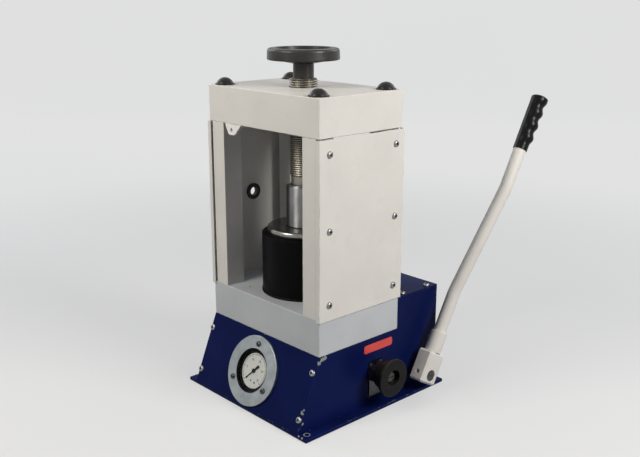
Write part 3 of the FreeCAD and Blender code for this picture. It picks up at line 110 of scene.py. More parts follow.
# The paper's sizes are in metres.
SWEEP_HALF = 7.0
SWEEP_NEAR = -3.5
SWEEP_FAR = 2.6
SWEEP_RADIUS = 1.4
SWEEP_TOP = 6.0
SWEEP_STEPS = 24
LIT_WITHIN = 0.4
PALE_BEYOND = 1.7
sweep_line = [(SWEEP_NEAR, 0.0)]
for step in range(SWEEP_STEPS + 1):
    bend = math.pi / 2 * step / SWEEP_STEPS
    sweep_line.append((SWEEP_FAR + SWEEP_RADIUS * math.sin(bend), SWEEP_RADIUS * (1 - math.cos(bend))))
sweep_line.append((SWEEP_FAR + SWEEP_RADIUS, SWEEP_TOP))
shape = bmesh.new()
rows = [[shape.verts.new((x, y, z)) for x in (-SWEEP_HALF, SWEEP_HALF)] for y, z in sweep_line]
for low, high in zip(rows, rows[1:]):
    shape.faces.new((low[0], low[1], high[1], high[0])).smooth = True
sweep_mesh = bpy.data.meshes.new("studio_floor")
shape.to_mesh(sweep_mesh)
shape.free()
studio_floor = bpy.data.objects.new("studio_floor", sweep_mesh)
studio_floor.matrix_world = Matrix.Rotation(CAMERA_AZIMUTH, 4, "Z")
bpy.context.scene.collection.objects.link(studio_floor)

paper = bpy.data.materials.new("matt_backdrop_paper")
paper.use_nodes = True
tree = paper.node_tree
shader = tree.nodes["Principled BSDF"]
shader.inputs["Roughness"].default_value = 0.9
shader.inputs["Specular IOR Level"].default_value = 0.1
seen = seen_rays(tree)
place = add(tree, "ShaderNodeTexCoord").outputs["Object"]
away = add(tree, "ShaderNodeVectorMath", {"operation": "LENGTH"}, _0=place).outputs["Value"]
far = add(tree, "ShaderNodeMapRange", {"interpolation_type": "SMOOTHSTEP"}, Value=away,
          From_Min=LIT_WITHIN, From_Max=PALE_BEYOND).outputs["Result"]
# The paper's own tone drifts over patches of about a sixth of the sheet.
drift = add(tree, "ShaderNodeTexNoise", Scale=6.0, Detail=4.0).outputs["Fac"]
tone = add(tree, "ShaderNodeMix", RGBA, Factor=drift, _6="#D4D5D6", _7="#DADAD9").outputs[2]
lit = add(tree, "ShaderNodeMix", RGBA, Factor=far, _6="#999A9B", _7="#000000").outputs[2]
lit = add(tree, "ShaderNodeMix", RGBA, Factor=seen, _6="#7A7D81", _7=lit).outputs[2]
tree.links.new(lit, shader.inputs["Base Color"])
tree.links.new(tone, shader.inputs["Emission Color"])
glow = add(tree, "ShaderNodeMapRange", Value=far, To_Min=0.62, To_Max=1.08).outputs["Result"]
glow = add(tree, "ShaderNodeMath", {"operation": "MULTIPLY"}, _0=glow, _1=seen).outputs[0]
tree.links.new(glow, shader.inputs["Emission Strength"])
studio_floor.data.materials.append(paper)

# Studio light
# Two soft boxes, one to the press's right and one in front, with weak ones to its left and behind
# it and an even, faintly blue room. The two stand near, so the light falls off towards the foot of
# the press. To the camera and in mirrors the room is as pale as the backdrop.
ROOM_GLOW = 0.09
BACKDROP_GLOW = 1.0
LIT_POINT = Vector((0, 0, 0.24))
room = bpy.data.worlds.new("studio_room")
room.use_nodes = True
tree = room.node_tree
background = tree.nodes["Background"]
seen = seen_rays(tree)
tone = add(tree, "ShaderNodeMix", RGBA, Factor=seen, _6="#E6EAF0", _7="#DFE0E0").outputs[2]
tree.links.new(tone, background.inputs["Color"])
glow = add(tree, "ShaderNodeMapRange", Value=seen, To_Min=ROOM_GLOW, To_Max=BACKDROP_GLOW)
tree.links.new(glow.outputs["Result"], background.inputs["Strength"])
bpy.context.scene.world = room
for name, spot, size, power, colour in (
    ("right_soft_box", (1.35, 0.24, 1.0), 0.6, 21, "#FFFBF6"),
    ("front_soft_box", (-0.16, -0.95, 0.95), 0.42, 9.2, "#FFF9F0"),
    ("left_soft_box", (-1.5, -0.2, 1.1), 0.9, 7, "#F4F6FF"),
    ("rear_soft_box", (0.25, 1.7, 1.2), 0.9, 7, "#F4F6FF"),
):
    lamp_data = bpy.data.lights.new(name, "AREA")
    lamp_data.shape = "SQUARE"
    lamp_data.size = size
    lamp_data.energy = power
    lamp_data.color = linear(colour)[:3]
    lamp = bpy.data.objects.new(name, lamp_data)
    lamp.location = spot
    lamp.rotation_euler = (LIT_POINT - Vector(spot)).to_track_quat("-Z", "Y").to_euler()
    bpy.context.scene.collection.objects.link(lamp)

# Base: plate, side pans, slanted front panel and rear cover
# Folded sheet steel with a navy stoving enamel, sprayed on and baked, which leaves a faint orange
# peel. The screws and hard knocks have chipped it down to grey primer along the edges.


def begin(name, **fixed):
    """Starts a material: returns it, its tree, its shader and each point's place on the piece."""
    made = bpy.data.materials.new(name)
    made.use_nodes = True
    made_shader = made.node_tree.nodes["Principled BSDF"]
    for socket, setting in fixed.items():
        made_shader.inputs[socket.replace("_", " ")].default_value = setting
    made_place = add(made.node_tree, "ShaderNodeTexCoord").outputs["Object"]
    return made, made.node_tree, made_shader, made_place


def dress(material, *names):
    """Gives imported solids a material."""
    for name in names:
        node[name].data.materials.clear()
        node[name].data.materials.append(material)


def mottle(tree, place, size, low=0.0, high=1.0, detail=3.0):
    """A cloudy value between low and high, in patches of a size in millimetres."""
    cloud = add(tree, "ShaderNodeTexNoise", Vector=place, Scale=1 / (size * MM), Detail=detail)
    return add(tree, "ShaderNodeMapRange", Value=cloud.outputs["Fac"], From_Min=0.3, From_Max=0.7,
               To_Min=low, To_Max=high).outputs["Result"]


def uneven_colour(tree, place, size, dark, light):
    """A colour that drifts between two, in patches of a size in millimetres."""
    return add(tree, "ShaderNodeMix", RGBA, Factor=mottle(tree, place, size), _6=dark,
               _7=light).outputs[2]


def worn_edges(tree, place, radius, reach, patch):
    """Where edges of a radius have lost their finish, broken up into patches; in millimetres."""
    bevel = add(tree, "ShaderNodeBevel", {"samples": 6}, Radius=radius * MM)
    flat = add(tree, "ShaderNodeNewGeometry")
    facing = add(tree, "ShaderNodeVectorMath", {"operation": "DOT_PRODUCT"},
                 _0=bevel.outputs["Normal"], _1=flat.outputs["True Normal"])
    edge = add(tree, "ShaderNodeMapRange", Value=facing.outputs["Value"], From_Min=1.0,
               From_Max=0.88).outputs["Result"]
    total = add(tree, "ShaderNodeMath", {"operation": "MULTIPLY_ADD"},
                _0=mottle(tree, place, patch, -1.0, 1.0, 5.0), _1=0.5, _2=edge)
    worn = add(tree, "ShaderNodeMapRange", Value=total.outputs[0], From_Min=reach,
               From_Max=reach + 0.12)
    return add(tree, "ShaderNodeMath", {"operation": "MULTIPLY"}, _0=worn.outputs["Result"],
               _1=edge).outputs[0]


def surface(tree, shader, colour, roughness):
    """Links a colour and a roughness to a shader."""
    tree.links.new(colour, shader.inputs["Base Color"])
    tree.links.new(roughness, shader.inputs["Roughness"])


def relief(tree, shader, height, depth, radius=None):
    """Bump from a height of 0 to 1, on edges that look rounded by a radius; in millimetres."""
    links = {}
    if radius:
        links["Normal"] = add(tree, "ShaderNodeBevel", {"samples": 6}, Radius=radius * MM).outputs[0]
    bump = add(tree, "ShaderNodeBump", Height=height, Distance=depth * MM, Strength=1.0, **links)
    tree.links.new(bump.outputs["Normal"], shader.inputs["Normal"])


def near_point(tree, place, point, inner, outer):
    """1 within an inner distance of a point, falling to 0 at the outer one; in millimetres."""
    away = add(tree, "ShaderNodeVectorMath", {"operation": "DISTANCE"}, _0=place,
               _1=Vector(point) * MM)
    return add(tree, "ShaderNodeMapRange", Value=away.outputs["Value"], From_Min=inner * MM,
               From_Max=outer * MM, To_Min=1.0, To_Max=0.0).outputs["Result"]


def facing_up(tree, low, high):
    """0 on walls and 1 on faces that look straight up, between two heights of their normal."""
    normal = add(tree, "ShaderNodeNewGeometry").outputs["Normal"]
    rise = add(tree, "ShaderNodeSeparateXYZ", Vector=normal).outputs["Z"]
    return add(tree, "ShaderNodeMapRange", Value=rise, From_Min=low, From_Max=high).outputs["Result"]


# Chips, each with its place and its reach: along the side's upper front corner, beside the panel's
# lower screw, low on the side, and on the flange's fold and its front edge. The paint is also off
# in a narrow ring round the front right bolt hole, where a washer has turned.
CHIPS = (((112.5, -74.5, 94.5), 6), ((112.5, -70, 97.5), 6.5), ((112.5, -64.5, 99.5), 6),
         ((110, -103, 32), 5), ((111.5, -101.5, 36.5), 3.5), ((112.5, -104, 18), 4),
         ((110, -92, 5), 4), ((115, -113.5, 5), 4), ((121, -114, 5), 4))
BOLT_HOLE = (119.5, -103, 5)
WASHER_INNER = 4.2
WASHER_OUTER = 4.9
ENAMEL_EDGE = 0.9
ORANGE_PEEL = 2.2
navy, tree, shader, place = begin("navy_stoving_enamel", IOR=1.5, Specular_IOR_Level=0.04)
knocked = 0.0
for spot, reach in CHIPS:
    knocked = add(tree, "ShaderNodeMath", {"operation": "MAXIMUM"}, _0=knocked,
                  _1=near_point(tree, place, spot, 0.0, reach)).outputs[0]
ragged = add(tree, "ShaderNodeMath", {"operation": "MULTIPLY_ADD"},
             _0=mottle(tree, place, 2.6, -1.0, 1.0, 6.0), _1=0.32, _2=knocked)
chips = add(tree, "ShaderNodeMapRange", Value=ragged.outputs[0], From_Min=0.5, From_Max=0.6)
lost = add(tree, "ShaderNodeMath", {"operation": "MAXIMUM"},
           _0=worn_edges(tree, place, 1.2, 1.2, 9), _1=chips.outputs["Result"])
ring = add(tree, "ShaderNodeMath", {"operation": "MULTIPLY"},
           _0=near_point(tree, place, BOLT_HOLE, WASHER_INNER, WASHER_OUTER),
           _1=facing_up(tree, 0.6, 0.9))
lost = add(tree, "ShaderNodeMath", {"operation": "MAXIMUM"}, _0=lost.outputs[0],
           _1=ring.outputs[0]).outputs[0]
rubbed = add(tree, "ShaderNodeMath", {"operation": "MULTIPLY"},
             _0=worn_edges(tree, place, 0.7, 0.5, 30), _1=0.22).outputs[0]
colour = uneven_colour(tree, place, 70, "#091340", "#0E194C")
colour = add(tree, "ShaderNodeMix", RGBA, Factor=rubbed, _6=colour, _7="#4A5378").outputs[2]
colour = add(tree, "ShaderNodeMix", RGBA, Factor=lost, _6=colour, _7="#8E958C").outputs[2]
rough = add(tree, "ShaderNodeMath", {"operation": "MULTIPLY_ADD"}, _0=lost, _1=0.25,
            _2=mottle(tree, place, 45, 0.34, 0.42)).outputs[0]
surface(tree, shader, colour, rough)
peel = add(tree, "ShaderNodeMath", {"operation": "SUBTRACT"},
           _0=mottle(tree, place, ORANGE_PEEL, detail=1.0), _1=lost).outputs[0]
relief(tree, shader, peel, 0.03, ENAMEL_EDGE)
dress(navy, "base_plate", "base_side_left", "base_side_right", "front_panel", "rear_cover")

# Red tag on the base's right wall
# A small blank plate of hard glossy plastic with rounded corners, red all through and glued on.
# Its gloss drifts a little, as on a plate that is wiped now and then.
tag, tree, shader, place = begin("red_tag_plastic", IOR=1.49, Specular_IOR_Level=0.45)
surface(tree, shader, uneven_colour(tree, place, 10, "#CC3F3B", "#D84B45"),
        mottle(tree, place, 6, 0.28, 0.4))
relief(tree, shader, mottle(tree, place, 1.4, detail=2.0), 0.01, 0.2)
dress(tag, "label_plate")

# Ram cylinder, oil tank, and the gauge's case and ring
# Turned or folded steel with a satin black lacquer. The steel's grain is too fine to show, so what
# shows is a soft sheen that is a little uneven, and fine scuffs at the rims.
black, tree, shader, place = begin("satin_black_lacquer", IOR=1.5, Specular_IOR_Level=0.05)
colour = uneven_colour(tree, place, 25, "#050506", "#0B0B0D")
scuffs = worn_edges(tree, place, 0.8, 1.05, 5)
colour = add(tree, "ShaderNodeMix", RGBA, Factor=scuffs, _6=colour, _7="#4A4843").outputs[2]
surface(tree, shader, colour, mottle(tree, place, 14, 0.32, 0.5))
relief(tree, shader, mottle(tree, place, 1.6, detail=2.0), 0.02, 0.8)
dress(black, "ram_cylinder", "gauge_case", "gauge_bezel", "oil_reservoir")

# Piston with its springs, pump and valve spindle
# Bare steel left from the lathe, with fine rings of tool marks and a film of oil. The marks are
# drawn 0.8 mm apart, since real ones of 0.1 mm are too fine to show.
TOOL_MARK = 0.8
turned_steel, tree, shader, place = begin("turned_steel", Metallic=1.0)
surface(tree, shader, uneven_colour(tree, place, 9, "#A5A29B", "#C2BFB8"),
        mottle(tree, place, 6, 0.24, 0.4))
round_z = add(tree, "ShaderNodeVectorMath", {"operation": "MULTIPLY"}, _0=place,
              _1=(0.04, 0.04, 1.0)).outputs[0]
relief(tree, shader, mottle(tree, round_z, TOOL_MARK, detail=1.0), 0.015, 0.4)
dress(turned_steel, "return_springs", "ram_piston", "pump_block", "pump_plunger", "lever_crank",
      "valve_spindle")

# Oil pipes, glands, gauge socket and spring tube
# Brass, drawn into tube or turned from bar and screwed or soldered together. A thin brown tarnish
# dulls it and lies in drifting patches.
brass, tree, shader, place = begin("tarnished_brass", Metallic=1.0)
surface(tree, shader, uneven_colour(tree, place, 9, "#A98546", "#C9A866"),
        mottle(tree, place, 5, 0.25, 0.45))
relief(tree, shader, mottle(tree, place, 1.1, detail=2.0), 0.01, 0.3)
dress(brass, "cylinder_gland", "gauge_socket", "bourdon_tube", "gauge_pipe", "ram_pipe",
      "suction_pipe", "pump_gland")

# Lever shaft bushes
# Cast bronze, pressed into the base's walls. It is painted nearly black, as painted shade for the
# shadow behind the lever block, and keeps only a dull metal gleam.
bronze, tree, shader, place = begin("shade_darkened_bronze", Metallic=1.0)
surface(tree, shader, uneven_colour(tree, place, 7, "#2A2117", "#43351F"),
        mottle(tree, place, 5, 0.3, 0.5))
relief(tree, shader, mottle(tree, place, 1.1, detail=2.0), 0.02, 0.3)
dress(bronze, "shaft_bearings")

# Piston seal and cable grommet
# Rings of nitrile rubber, moulded and snapped into their groove or hole. The black is matt, under
# a faint grey bloom.
rubber, tree, shader, place = begin("black_nitrile_rubber", IOR=1.52, Specular_IOR_Level=0.3)
surface(tree, shader, uneven_colour(tree, place, 6, "#101010", "#1E1E1D"),
        mottle(tree, place, 5, 0.55, 0.75))
relief(tree, shader, mottle(tree, place, 0.9), 0.02, 0.5)
dress(rubber, "piston_seal", "cover_grommet")

# Press frame with its covers, and the lever's block, socket and tube
# Thick steel plate, bent sheet and tube under a light warm grey machine enamel, smooth and half
# glossy, with a few specks and thin wear along the edges. The lower block gets a darker, cooler
# copy of the same enamel, which is painted shade for the light that falls off towards
# the foot of the press.
SPECK_SPACING = 38
for finish, dark, light, names in (
    ("light_grey_machine_enamel", "#D5D3CE", "#DBD9D4",
     ("upper_block", "column_front_left", "column_front_right", "column_rear_left",
      "column_rear_right", "side_cover_left", "side_cover_right", "lever_block", "lever_socket",
      "lever_tube")),
    # painted shade: the lower block's darker, cooler copy of the enamel
    ("shaded_grey_machine_enamel", "#B7BBC0", "#BFC3C7", ("lower_block",)),
):
    grey, tree, shader, place = begin(finish, IOR=1.5, Specular_IOR_Level=0.25)
    colour = uneven_colour(tree, place, 60, dark, light)
    grime = add(tree, "ShaderNodeMath", {"operation": "MAXIMUM"},
                _0=mottle(tree, place, 18, -0.8, 0.4, 6.0), _1=0.0)
    grime = add(tree, "ShaderNodeMath", {"operation": "MULTIPLY"}, _0=grime.outputs[0], _1=0.2)
    colour = add(tree, "ShaderNodeMix", RGBA, Factor=grime.outputs[0], _6=colour,
                 _7="#A5A196").outputs[2]
    specks = add(tree, "ShaderNodeTexVoronoi", Vector=place, Scale=1 / (SPECK_SPACING * MM))
    speck = add(tree, "ShaderNodeMapRange", Value=specks.outputs["Distance"], From_Min=0.012,
                From_Max=0.022, To_Min=0.6, To_Max=0.0).outputs["Result"]
    colour = add(tree, "ShaderNodeMix", RGBA, Factor=speck, _6=colour, _7="#77736A").outputs[2]
    edges = worn_edges(tree, place, 0.9, 1.3, 7)
    colour = add(tree, "ShaderNodeMix", RGBA, Factor=edges, _6=colour, _7="#96928A").outputs[2]
    surface(tree, shader, colour, mottle(tree, place, 30, 0.36, 0.48))
    relief(tree, shader, mottle(tree, place, ORANGE_PEEL, detail=1.0), 0.025, ENAMEL_EDGE)
    dress(grey, *names)

# Guard catch
# A tab of sheet steel, cut, bent and fixed under the upper block, to catch a guard's edge. Its
# enamel is whiter and glossier than the frame's, and worn to dull steel at the tab's edges.
white, tree, shader, place = begin("white_enamel", IOR=1.5, Specular_IOR_Level=0.45)
colour = uneven_colour(tree, place, 12, "#E6E5E0", "#EFEEEA")
edges = worn_edges(tree, place, 0.8, 0.9, 4)
colour = add(tree, "ShaderNodeMix", RGBA, Factor=edges, _6=colour, _7="#8E8B84").outputs[2]
surface(tree, shader, colour, mottle(tree, place, 10, 0.28, 0.4))
relief(tree, shader, mottle(tree, place, ORANGE_PEEL, detail=1.0), 0.02, 0.6)
dress(white, "guard_catch")

# Platen
# A disc of hardened steel that lies on the ram, ground and polished. It mirrors what is near it,
# streaked by the fine rings of the grinding, with a darker film of oil in patches.
ground_steel, tree, shader, place = begin("ground_hardened_steel", Metallic=1.0)
surface(tree, shader, uneven_colour(tree, place, 16, "#797772", "#999792"),
        mottle(tree, place, 8, 0.16, 0.28))
round_z = add(tree, "ShaderNodeVectorMath", {"operation": "MULTIPLY"}, _0=place,
              _1=(0.03, 0.03, 1.0)).outputs[0]
relief(tree, shader, mottle(tree, round_z, TOOL_MARK, detail=2.0), 0.008, 0.5)
dress(ground_steel, "ram_platen")

# Pressure foot
# A hardened steel stub under the screw, held to it by two screws. Its wall was ground turning, so
# its fine rings draw a lamp out into one upright streak. They are too fine to show one by one and
# stand in the shader as a grain that runs round Z.
round_ground, tree, shader, place = begin("round_ground_steel", Metallic=1.0, Anisotropic=0.95,
                                         Anisotropic_Rotation=0.25)
surface(tree, shader, uneven_colour(tree, place, 16, "#757577", "#8D8D8D"),
        mottle(tree, place, 8, 0.36, 0.42))
round_z = add(tree, "ShaderNodeVectorMath", {"operation": "CROSS_PRODUCT"}, _0=(0.0, 0.0, 1.0),
              _1=place)
grain = add(tree, "ShaderNodeVectorTransform",
            {"vector_type": "VECTOR", "convert_from": "OBJECT", "convert_to": "WORLD"},
            Vector=round_z.outputs[0])
tree.links.new(grain.outputs[0], shader.inputs["Tangent"])
relief(tree, shader, mottle(tree, place, 3, detail=2.0), 0.004, 0.5)
dress(round_ground, "pressure_foot")

# Lead screw
# One turned bar with a cut 39 mm thread of 3 mm pitch, a neck and a grooved stem that the foot
# hangs on. The crests are rubbed bright by the nut in the upper block, and old oil lies dark in
# the roots.


def corners(name):
    """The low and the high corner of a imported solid's box, in millimetres."""
    spots = [node[name].matrix_world @ Vector(corner) / MM for corner in node[name].bound_box]
    return [Vector([pick(values) for values in zip(*spots)]) for pick in (min, max)]


def turned(mesh, profile, steps=48):
    """Turns a profile of (radius, height) in millimetres about Z, with capped ends."""
    rings = []
    for radius, height in profile:
        if radius < 1e-6:
            rings.append([mesh.verts.new((0, 0, height * MM))])
            continue
        rings.append([mesh.verts.new((radius * MM * math.cos(math.tau * s / steps),
                                      radius * MM * math.sin(math.tau * s / steps), height * MM))
                      for s in range(steps)])
    for low, high in zip(rings, rings[1:]):
        for s in range(steps):
            t = (s + 1) % steps
            if len(low) == 1:
                mesh.faces.new((low[0], high[t], high[s]))
            elif len(high) == 1:
                mesh.faces.new((low[s], low[t], high[0]))
            else:
                mesh.faces.new((low[s], low[t], high[t], high[s]))
    return rings


def piece(name, mesh, materials, body, replaced, smooth=35):
    """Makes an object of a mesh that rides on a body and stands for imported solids."""
    bmesh.ops.recalc_face_normals(mesh, faces=mesh.faces)
    data = bpy.data.meshes.new(name)
    mesh.to_mesh(data)
    mesh.free()
    for material in materials:
        data.materials.append(material)
    if smooth:
        data.shade_smooth()
        data.set_sharp_from_angle(angle=math.radians(smooth))
    made = bpy.data.objects.new(name, data)
    bpy.context.scene.collection.objects.link(made)
    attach(made, body)
    if replaced:
        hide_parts(*replaced)


THREAD_RADIUS = 19.5
THREAD_ROOT = 17.7
THREAD_PITCH = 3.0
THREAD_TURNS = 44
NECK_RADIUS = 17.6
NECK_LENGTH = 20.0
NECK_CHAMFER = 0.4
STEM_RADIUS = 12.0
STEM_LENGTH = 28.0
GROOVE_RADIUS = 9.0
GROOVE_RISE = 10.0
GROOVE_LENGTH = 8.0
TAIL_RADIUS = 9.0
SHOULDER = 0.01
SHOULDER_INSET = 0.1
ROUND_STEPS = 64
WELD = 1e-6
stem_low = corners("lead_screw")[0].z
tail_high = corners("lead_screw")[1].z
groove_low = stem_low + GROOVE_RISE
groove_high = groove_low + GROOVE_LENGTH
neck_low = stem_low + STEM_LENGTH
thread_low = neck_low + NECK_LENGTH
thread_high = thread_low + THREAD_TURNS * THREAD_PITCH
# One turn of the thread's outline, as shares of the pitch: a flat crest, a flank and a flat root.
section = [(0.0, THREAD_RADIUS), (0.11, THREAD_RADIUS), (0.42, THREAD_ROOT), (0.69, THREAD_ROOT)]
per_turn = len(section)
shape = bmesh.new()
columns = []
for s in range(ROUND_STEPS):
    angle = math.tau * s / ROUND_STEPS
    column = []
    for row in range(-per_turn, (THREAD_TURNS + 1) * per_turn):
        share, radius = section[row % per_turn]
        height = thread_low + THREAD_PITCH * (row // per_turn + share + s / ROUND_STEPS)
        if not thread_low < height < thread_high:
            height = min(max(height, thread_low), thread_high)
            radius = THREAD_ROOT
        column.append(shape.verts.new((radius * MM * math.cos(angle), radius * MM * math.sin(angle),
                                       height * MM)))
    columns.append(column)
for s in range(ROUND_STEPS):
    here, there = columns[s], columns[(s + 1) % ROUND_STEPS]
    shift = per_turn if s == ROUND_STEPS - 1 else 0
    for row in range(len(here) - 1 - shift):
        shape.faces.new((here[row], there[row + shift], there[row + shift + 1], here[row + 1]))
bmesh.ops.remove_doubles(shape, verts=shape.verts, dist=WELD)
bmesh.ops.dissolve_degenerate(shape, edges=shape.edges, dist=WELD)
turned(shape, [(0, stem_low), (STEM_RADIUS, stem_low), (STEM_RADIUS, groove_low),
               (GROOVE_RADIUS, groove_low), (GROOVE_RADIUS, groove_high),
               (STEM_RADIUS, groove_high), (STEM_RADIUS, neck_low), (NECK_RADIUS, neck_low),
               (NECK_RADIUS, thread_low - NECK_CHAMFER), (THREAD_ROOT, thread_low),
               (0, thread_low)], ROUND_STEPS)
shoulder_high = thread_high + SHOULDER
turned(shape, [(0, thread_high), (THREAD_ROOT, thread_high),
               (THREAD_ROOT - SHOULDER_INSET, shoulder_high), (TAIL_RADIUS, shoulder_high),
               (TAIL_RADIUS, tail_high), (0, tail_high)], ROUND_STEPS)

thread_steel, tree, shader, place = begin("oiled_thread_steel", Metallic=1.0)
flat = add(tree, "ShaderNodeVectorMath", {"operation": "MULTIPLY"}, _0=place, _1=(1.0, 1.0, 0.0))
out = add(tree, "ShaderNodeVectorMath", {"operation": "LENGTH"}, _0=flat.outputs[0])
crest = add(tree, "ShaderNodeMapRange", Value=out.outputs["Value"],
            From_Min=(THREAD_ROOT + 0.3) * MM, From_Max=(THREAD_RADIUS - 0.1) * MM)
height = add(tree, "ShaderNodeSeparateXYZ", Vector=place).outputs["Z"]
neck = add(tree, "ShaderNodeMath", {"operation": "LESS_THAN"}, _0=height, _1=thread_low * MM)
bright = add(tree, "ShaderNodeMath", {"operation": "MAXIMUM"}, _0=crest.outputs["Result"],
             _1=neck.outputs[0]).outputs[0]
oil = uneven_colour(tree, place, 8, "#45413A", "#5E594F")
colour = add(tree, "ShaderNodeMix", RGBA, Factor=bright, _6=oil, _7="#8E8A81").outputs[2]
surface(tree, shader, colour, mottle(tree, place, 5, 0.34, 0.48))
relief(tree, shader, mottle(tree, place, 1.2, detail=2.0), 0.01, 0.25)
piece("lead_screw_thread", shape, [thread_steel], "screw", ["lead_screw"],
      smooth=75)

# Handwheel and release knob
# Compression-moulded black phenolic, screwed onto the lead screw and the valve's spindle. Handling
# has dulled the wheel to a satin brown-black with grey dust in patches. Faces that look up turn a
# lighter grey, partly dust and partly painted highlight from the light above. The knob, low and
# turned away from the dust, has kept its black.
phenolics = {}
for finish, shine, dark, light in (
    ("handled_black_phenolic", 0.3, "#1E1D1C", "#2B2926"),
    ("dusty_black_phenolic", 0.2, "#0F0F0F", "#191816"),
    ("deep_black_phenolic", 0.1, "#060606", "#0B0B0A"),
):
    phenolics[finish], tree, shader, place = begin(finish, IOR=1.55, Specular_IOR_Level=shine)
    colour = uneven_colour(tree, place, 20, dark, light)
    dust = add(tree, "ShaderNodeMath", {"operation": "MAXIMUM"},
               _0=mottle(tree, place, 3, -0.9, 0.12, 8.0), _1=0.0).outputs[0]
    colour = add(tree, "ShaderNodeMix", RGBA, Factor=dust, _6=colour, _7="#5B5850").outputs[2]
    # partly dust, partly painted highlight: faces that look up turn a lighter grey
    top_dust_and_highlight = add(tree, "ShaderNodeMath", {"operation": "MULTIPLY"}, _0=facing_up(tree, 0.2, 1.0),
                  _1=mottle(tree, place, 14, 0.04, 0.2)).outputs[0]
    colour = add(tree, "ShaderNodeMix", RGBA, Factor=top_dust_and_highlight, _6=colour, _7="#6E6A61").outputs[2]
    edges = worn_edges(tree, place, 0.8, 1.0, 6)
    colour = add(tree, "ShaderNodeMix", RGBA, Factor=edges, _6=colour, _7="#3A3834").outputs[2]
    surface(tree, shader, colour, mottle(tree, place, 12, 0.26, 0.44))
    relief(tree, shader, mottle(tree, place, 1.5), 0.02, 0.9)
dress(phenolics["handled_black_phenolic"], "handwheel")
dress(phenolics["deep_black_phenolic"], "release_knob")

# Tie rod caps
# The same phenolic, moulded as a ball-shaped crown on a thin rim, with a hollow skirt pushed into
# the pocket of each upper nut. Nobody touches them, so they gather dust; their crowns are painted
# lighter on top, partly as dust and partly as painted highlight.
CAP_RIM = 13.4
CAP_RIM_THICK = 1.5
CAP_HEIGHT = 9.8
CAP_BALL = 12.7
CROWN_STEPS = 12
SKIRT_OUTER = 11.95
SKIRT_INNER = 10.5
SKIRT_DEPTH = 5.0
CAP_ACROSS = 95.0
CAP_ALONG = 60.0
upper_top = corners("upper_block")[1].z
profile = [(0, CAP_RIM_THICK), (SKIRT_INNER, CAP_RIM_THICK), (SKIRT_INNER, -SKIRT_DEPTH),
           (SKIRT_OUTER, -SKIRT_DEPTH), (SKIRT_OUTER, 0), (CAP_RIM, 0), (CAP_RIM, CAP_RIM_THICK)]
crown = math.acos(1 - (CAP_HEIGHT - CAP_RIM_THICK) / CAP_BALL)
for step in range(CROWN_STEPS + 1):
    lean = crown * (1 - step / CROWN_STEPS)
    profile.append((CAP_BALL * math.sin(lean), CAP_HEIGHT - CAP_BALL * (1 - math.cos(lean))))
shape = bmesh.new()
for across in (-CAP_ACROSS, CAP_ACROSS):
    for along in (-CAP_ALONG, CAP_ALONG):
        for vert in [v for ring in turned(shape, profile) for v in ring]:
            vert.co += Vector((across, along, upper_top)) * MM
piece("tie_rod_cap_domes", shape, [phenolics["dusty_black_phenolic"]], "frame",
      ["tie_rod_caps"])

# Tie rods with their nuts, spacers, wheel and foot screws, and filler plug
# Steel, cut or cold-headed, then zinc plated with a thin clear passivation, which leaves a cool
# grey with a faint bloom.
zinc, tree, shader, place = begin("zinc_plated_steel", Metallic=1.0)
surface(tree, shader, uneven_colour(tree, place, 4, "#9FA1A0", "#C2C4C4"),
        mottle(tree, place, 3, 0.28, 0.45))
relief(tree, shader, mottle(tree, place, 0.9, detail=2.0), 0.01, 0.3)
dress(zinc, "side_cover_spacers", "tie_rods", "handwheel_screw", "foot_retaining_screws",
      "filler_plug")

# Pan-head screws of the base and the side covers
# Headed and rolled wire screws, zinc plated. A punch forms the cross in each head. Its arms are
# painted near black and the head darkens where it is hemmed in, as painted shade mixed with grime.
# Each was driven home at its own turn.
HEAD_RADIUS = 4.5
HEAD_HEIGHT = 2.8
HEAD_PROFILE = ((0, 0), (1, 0), (1, 0.35), (0.93, 0.62), (0.78, 0.84), (0.5, 0.97), (0, 1))
HEAD_STEPS = 32
RECESS_ARM = 3.1
RECESS_WIDTH = 1.5
RECESS_DEPTH = 1.7
RECESS_FLOOR = 0.45


def screw_head(radius, height, arms=True):
    """One screw head with its washer face on Z = 0 and a cross or a slot punched in its top."""
    head_mesh = bmesh.new()
    scale = radius / HEAD_RADIUS
    turned(head_mesh, [(radius * out, height * up) for out, up in HEAD_PROFILE], HEAD_STEPS)
    bmesh.ops.recalc_face_normals(head_mesh, faces=head_mesh.faces)
    cutter_mesh = bmesh.new()
    for turn in (0, math.pi / 2) if arms else (0,):
        arm = RECESS_ARM * scale if arms else 1.5 * radius
        for vert in bmesh.ops.create_cube(cutter_mesh, size=1.0)["verts"]:
            narrow = 1.0 if vert.co.z > 0 or not arms else RECESS_FLOOR
            vert.co = Vector((vert.co.x * 2 * arm * narrow, vert.co.y * RECESS_WIDTH * scale,
                              vert.co.z * 2 * RECESS_DEPTH * scale + height)) * MM
            vert.co.rotate(Matrix.Rotation(turn, 3, "Z"))
    head, cutter = [bpy.data.objects.new(name, bpy.data.meshes.new(name))
                    for name in ("screw_head", "screw_recess")]
    for made, mesh in ((head, head_mesh), (cutter, cutter_mesh)):
        mesh.to_mesh(made.data)
        mesh.free()
        bpy.context.scene.collection.objects.link(made)
    cut = head.modifiers.new("recess", "BOOLEAN")
    cut.operation = "DIFFERENCE"
    cut.object = cutter
    cut.use_self = True
    bpy.context.view_layer.update()
    ready = bpy.data.meshes.new_from_object(head.evaluated_get(bpy.context.evaluated_depsgraph_get()))
    for face in ready.polygons:
        inside = face.center.xy.length < 0.62 * radius * MM and face.center.z < 0.9 * height * MM
        face.material_index = int(inside and face.center.z > 0)
    for made in (head, cutter):
        bpy.data.objects.remove(made)
    return ready


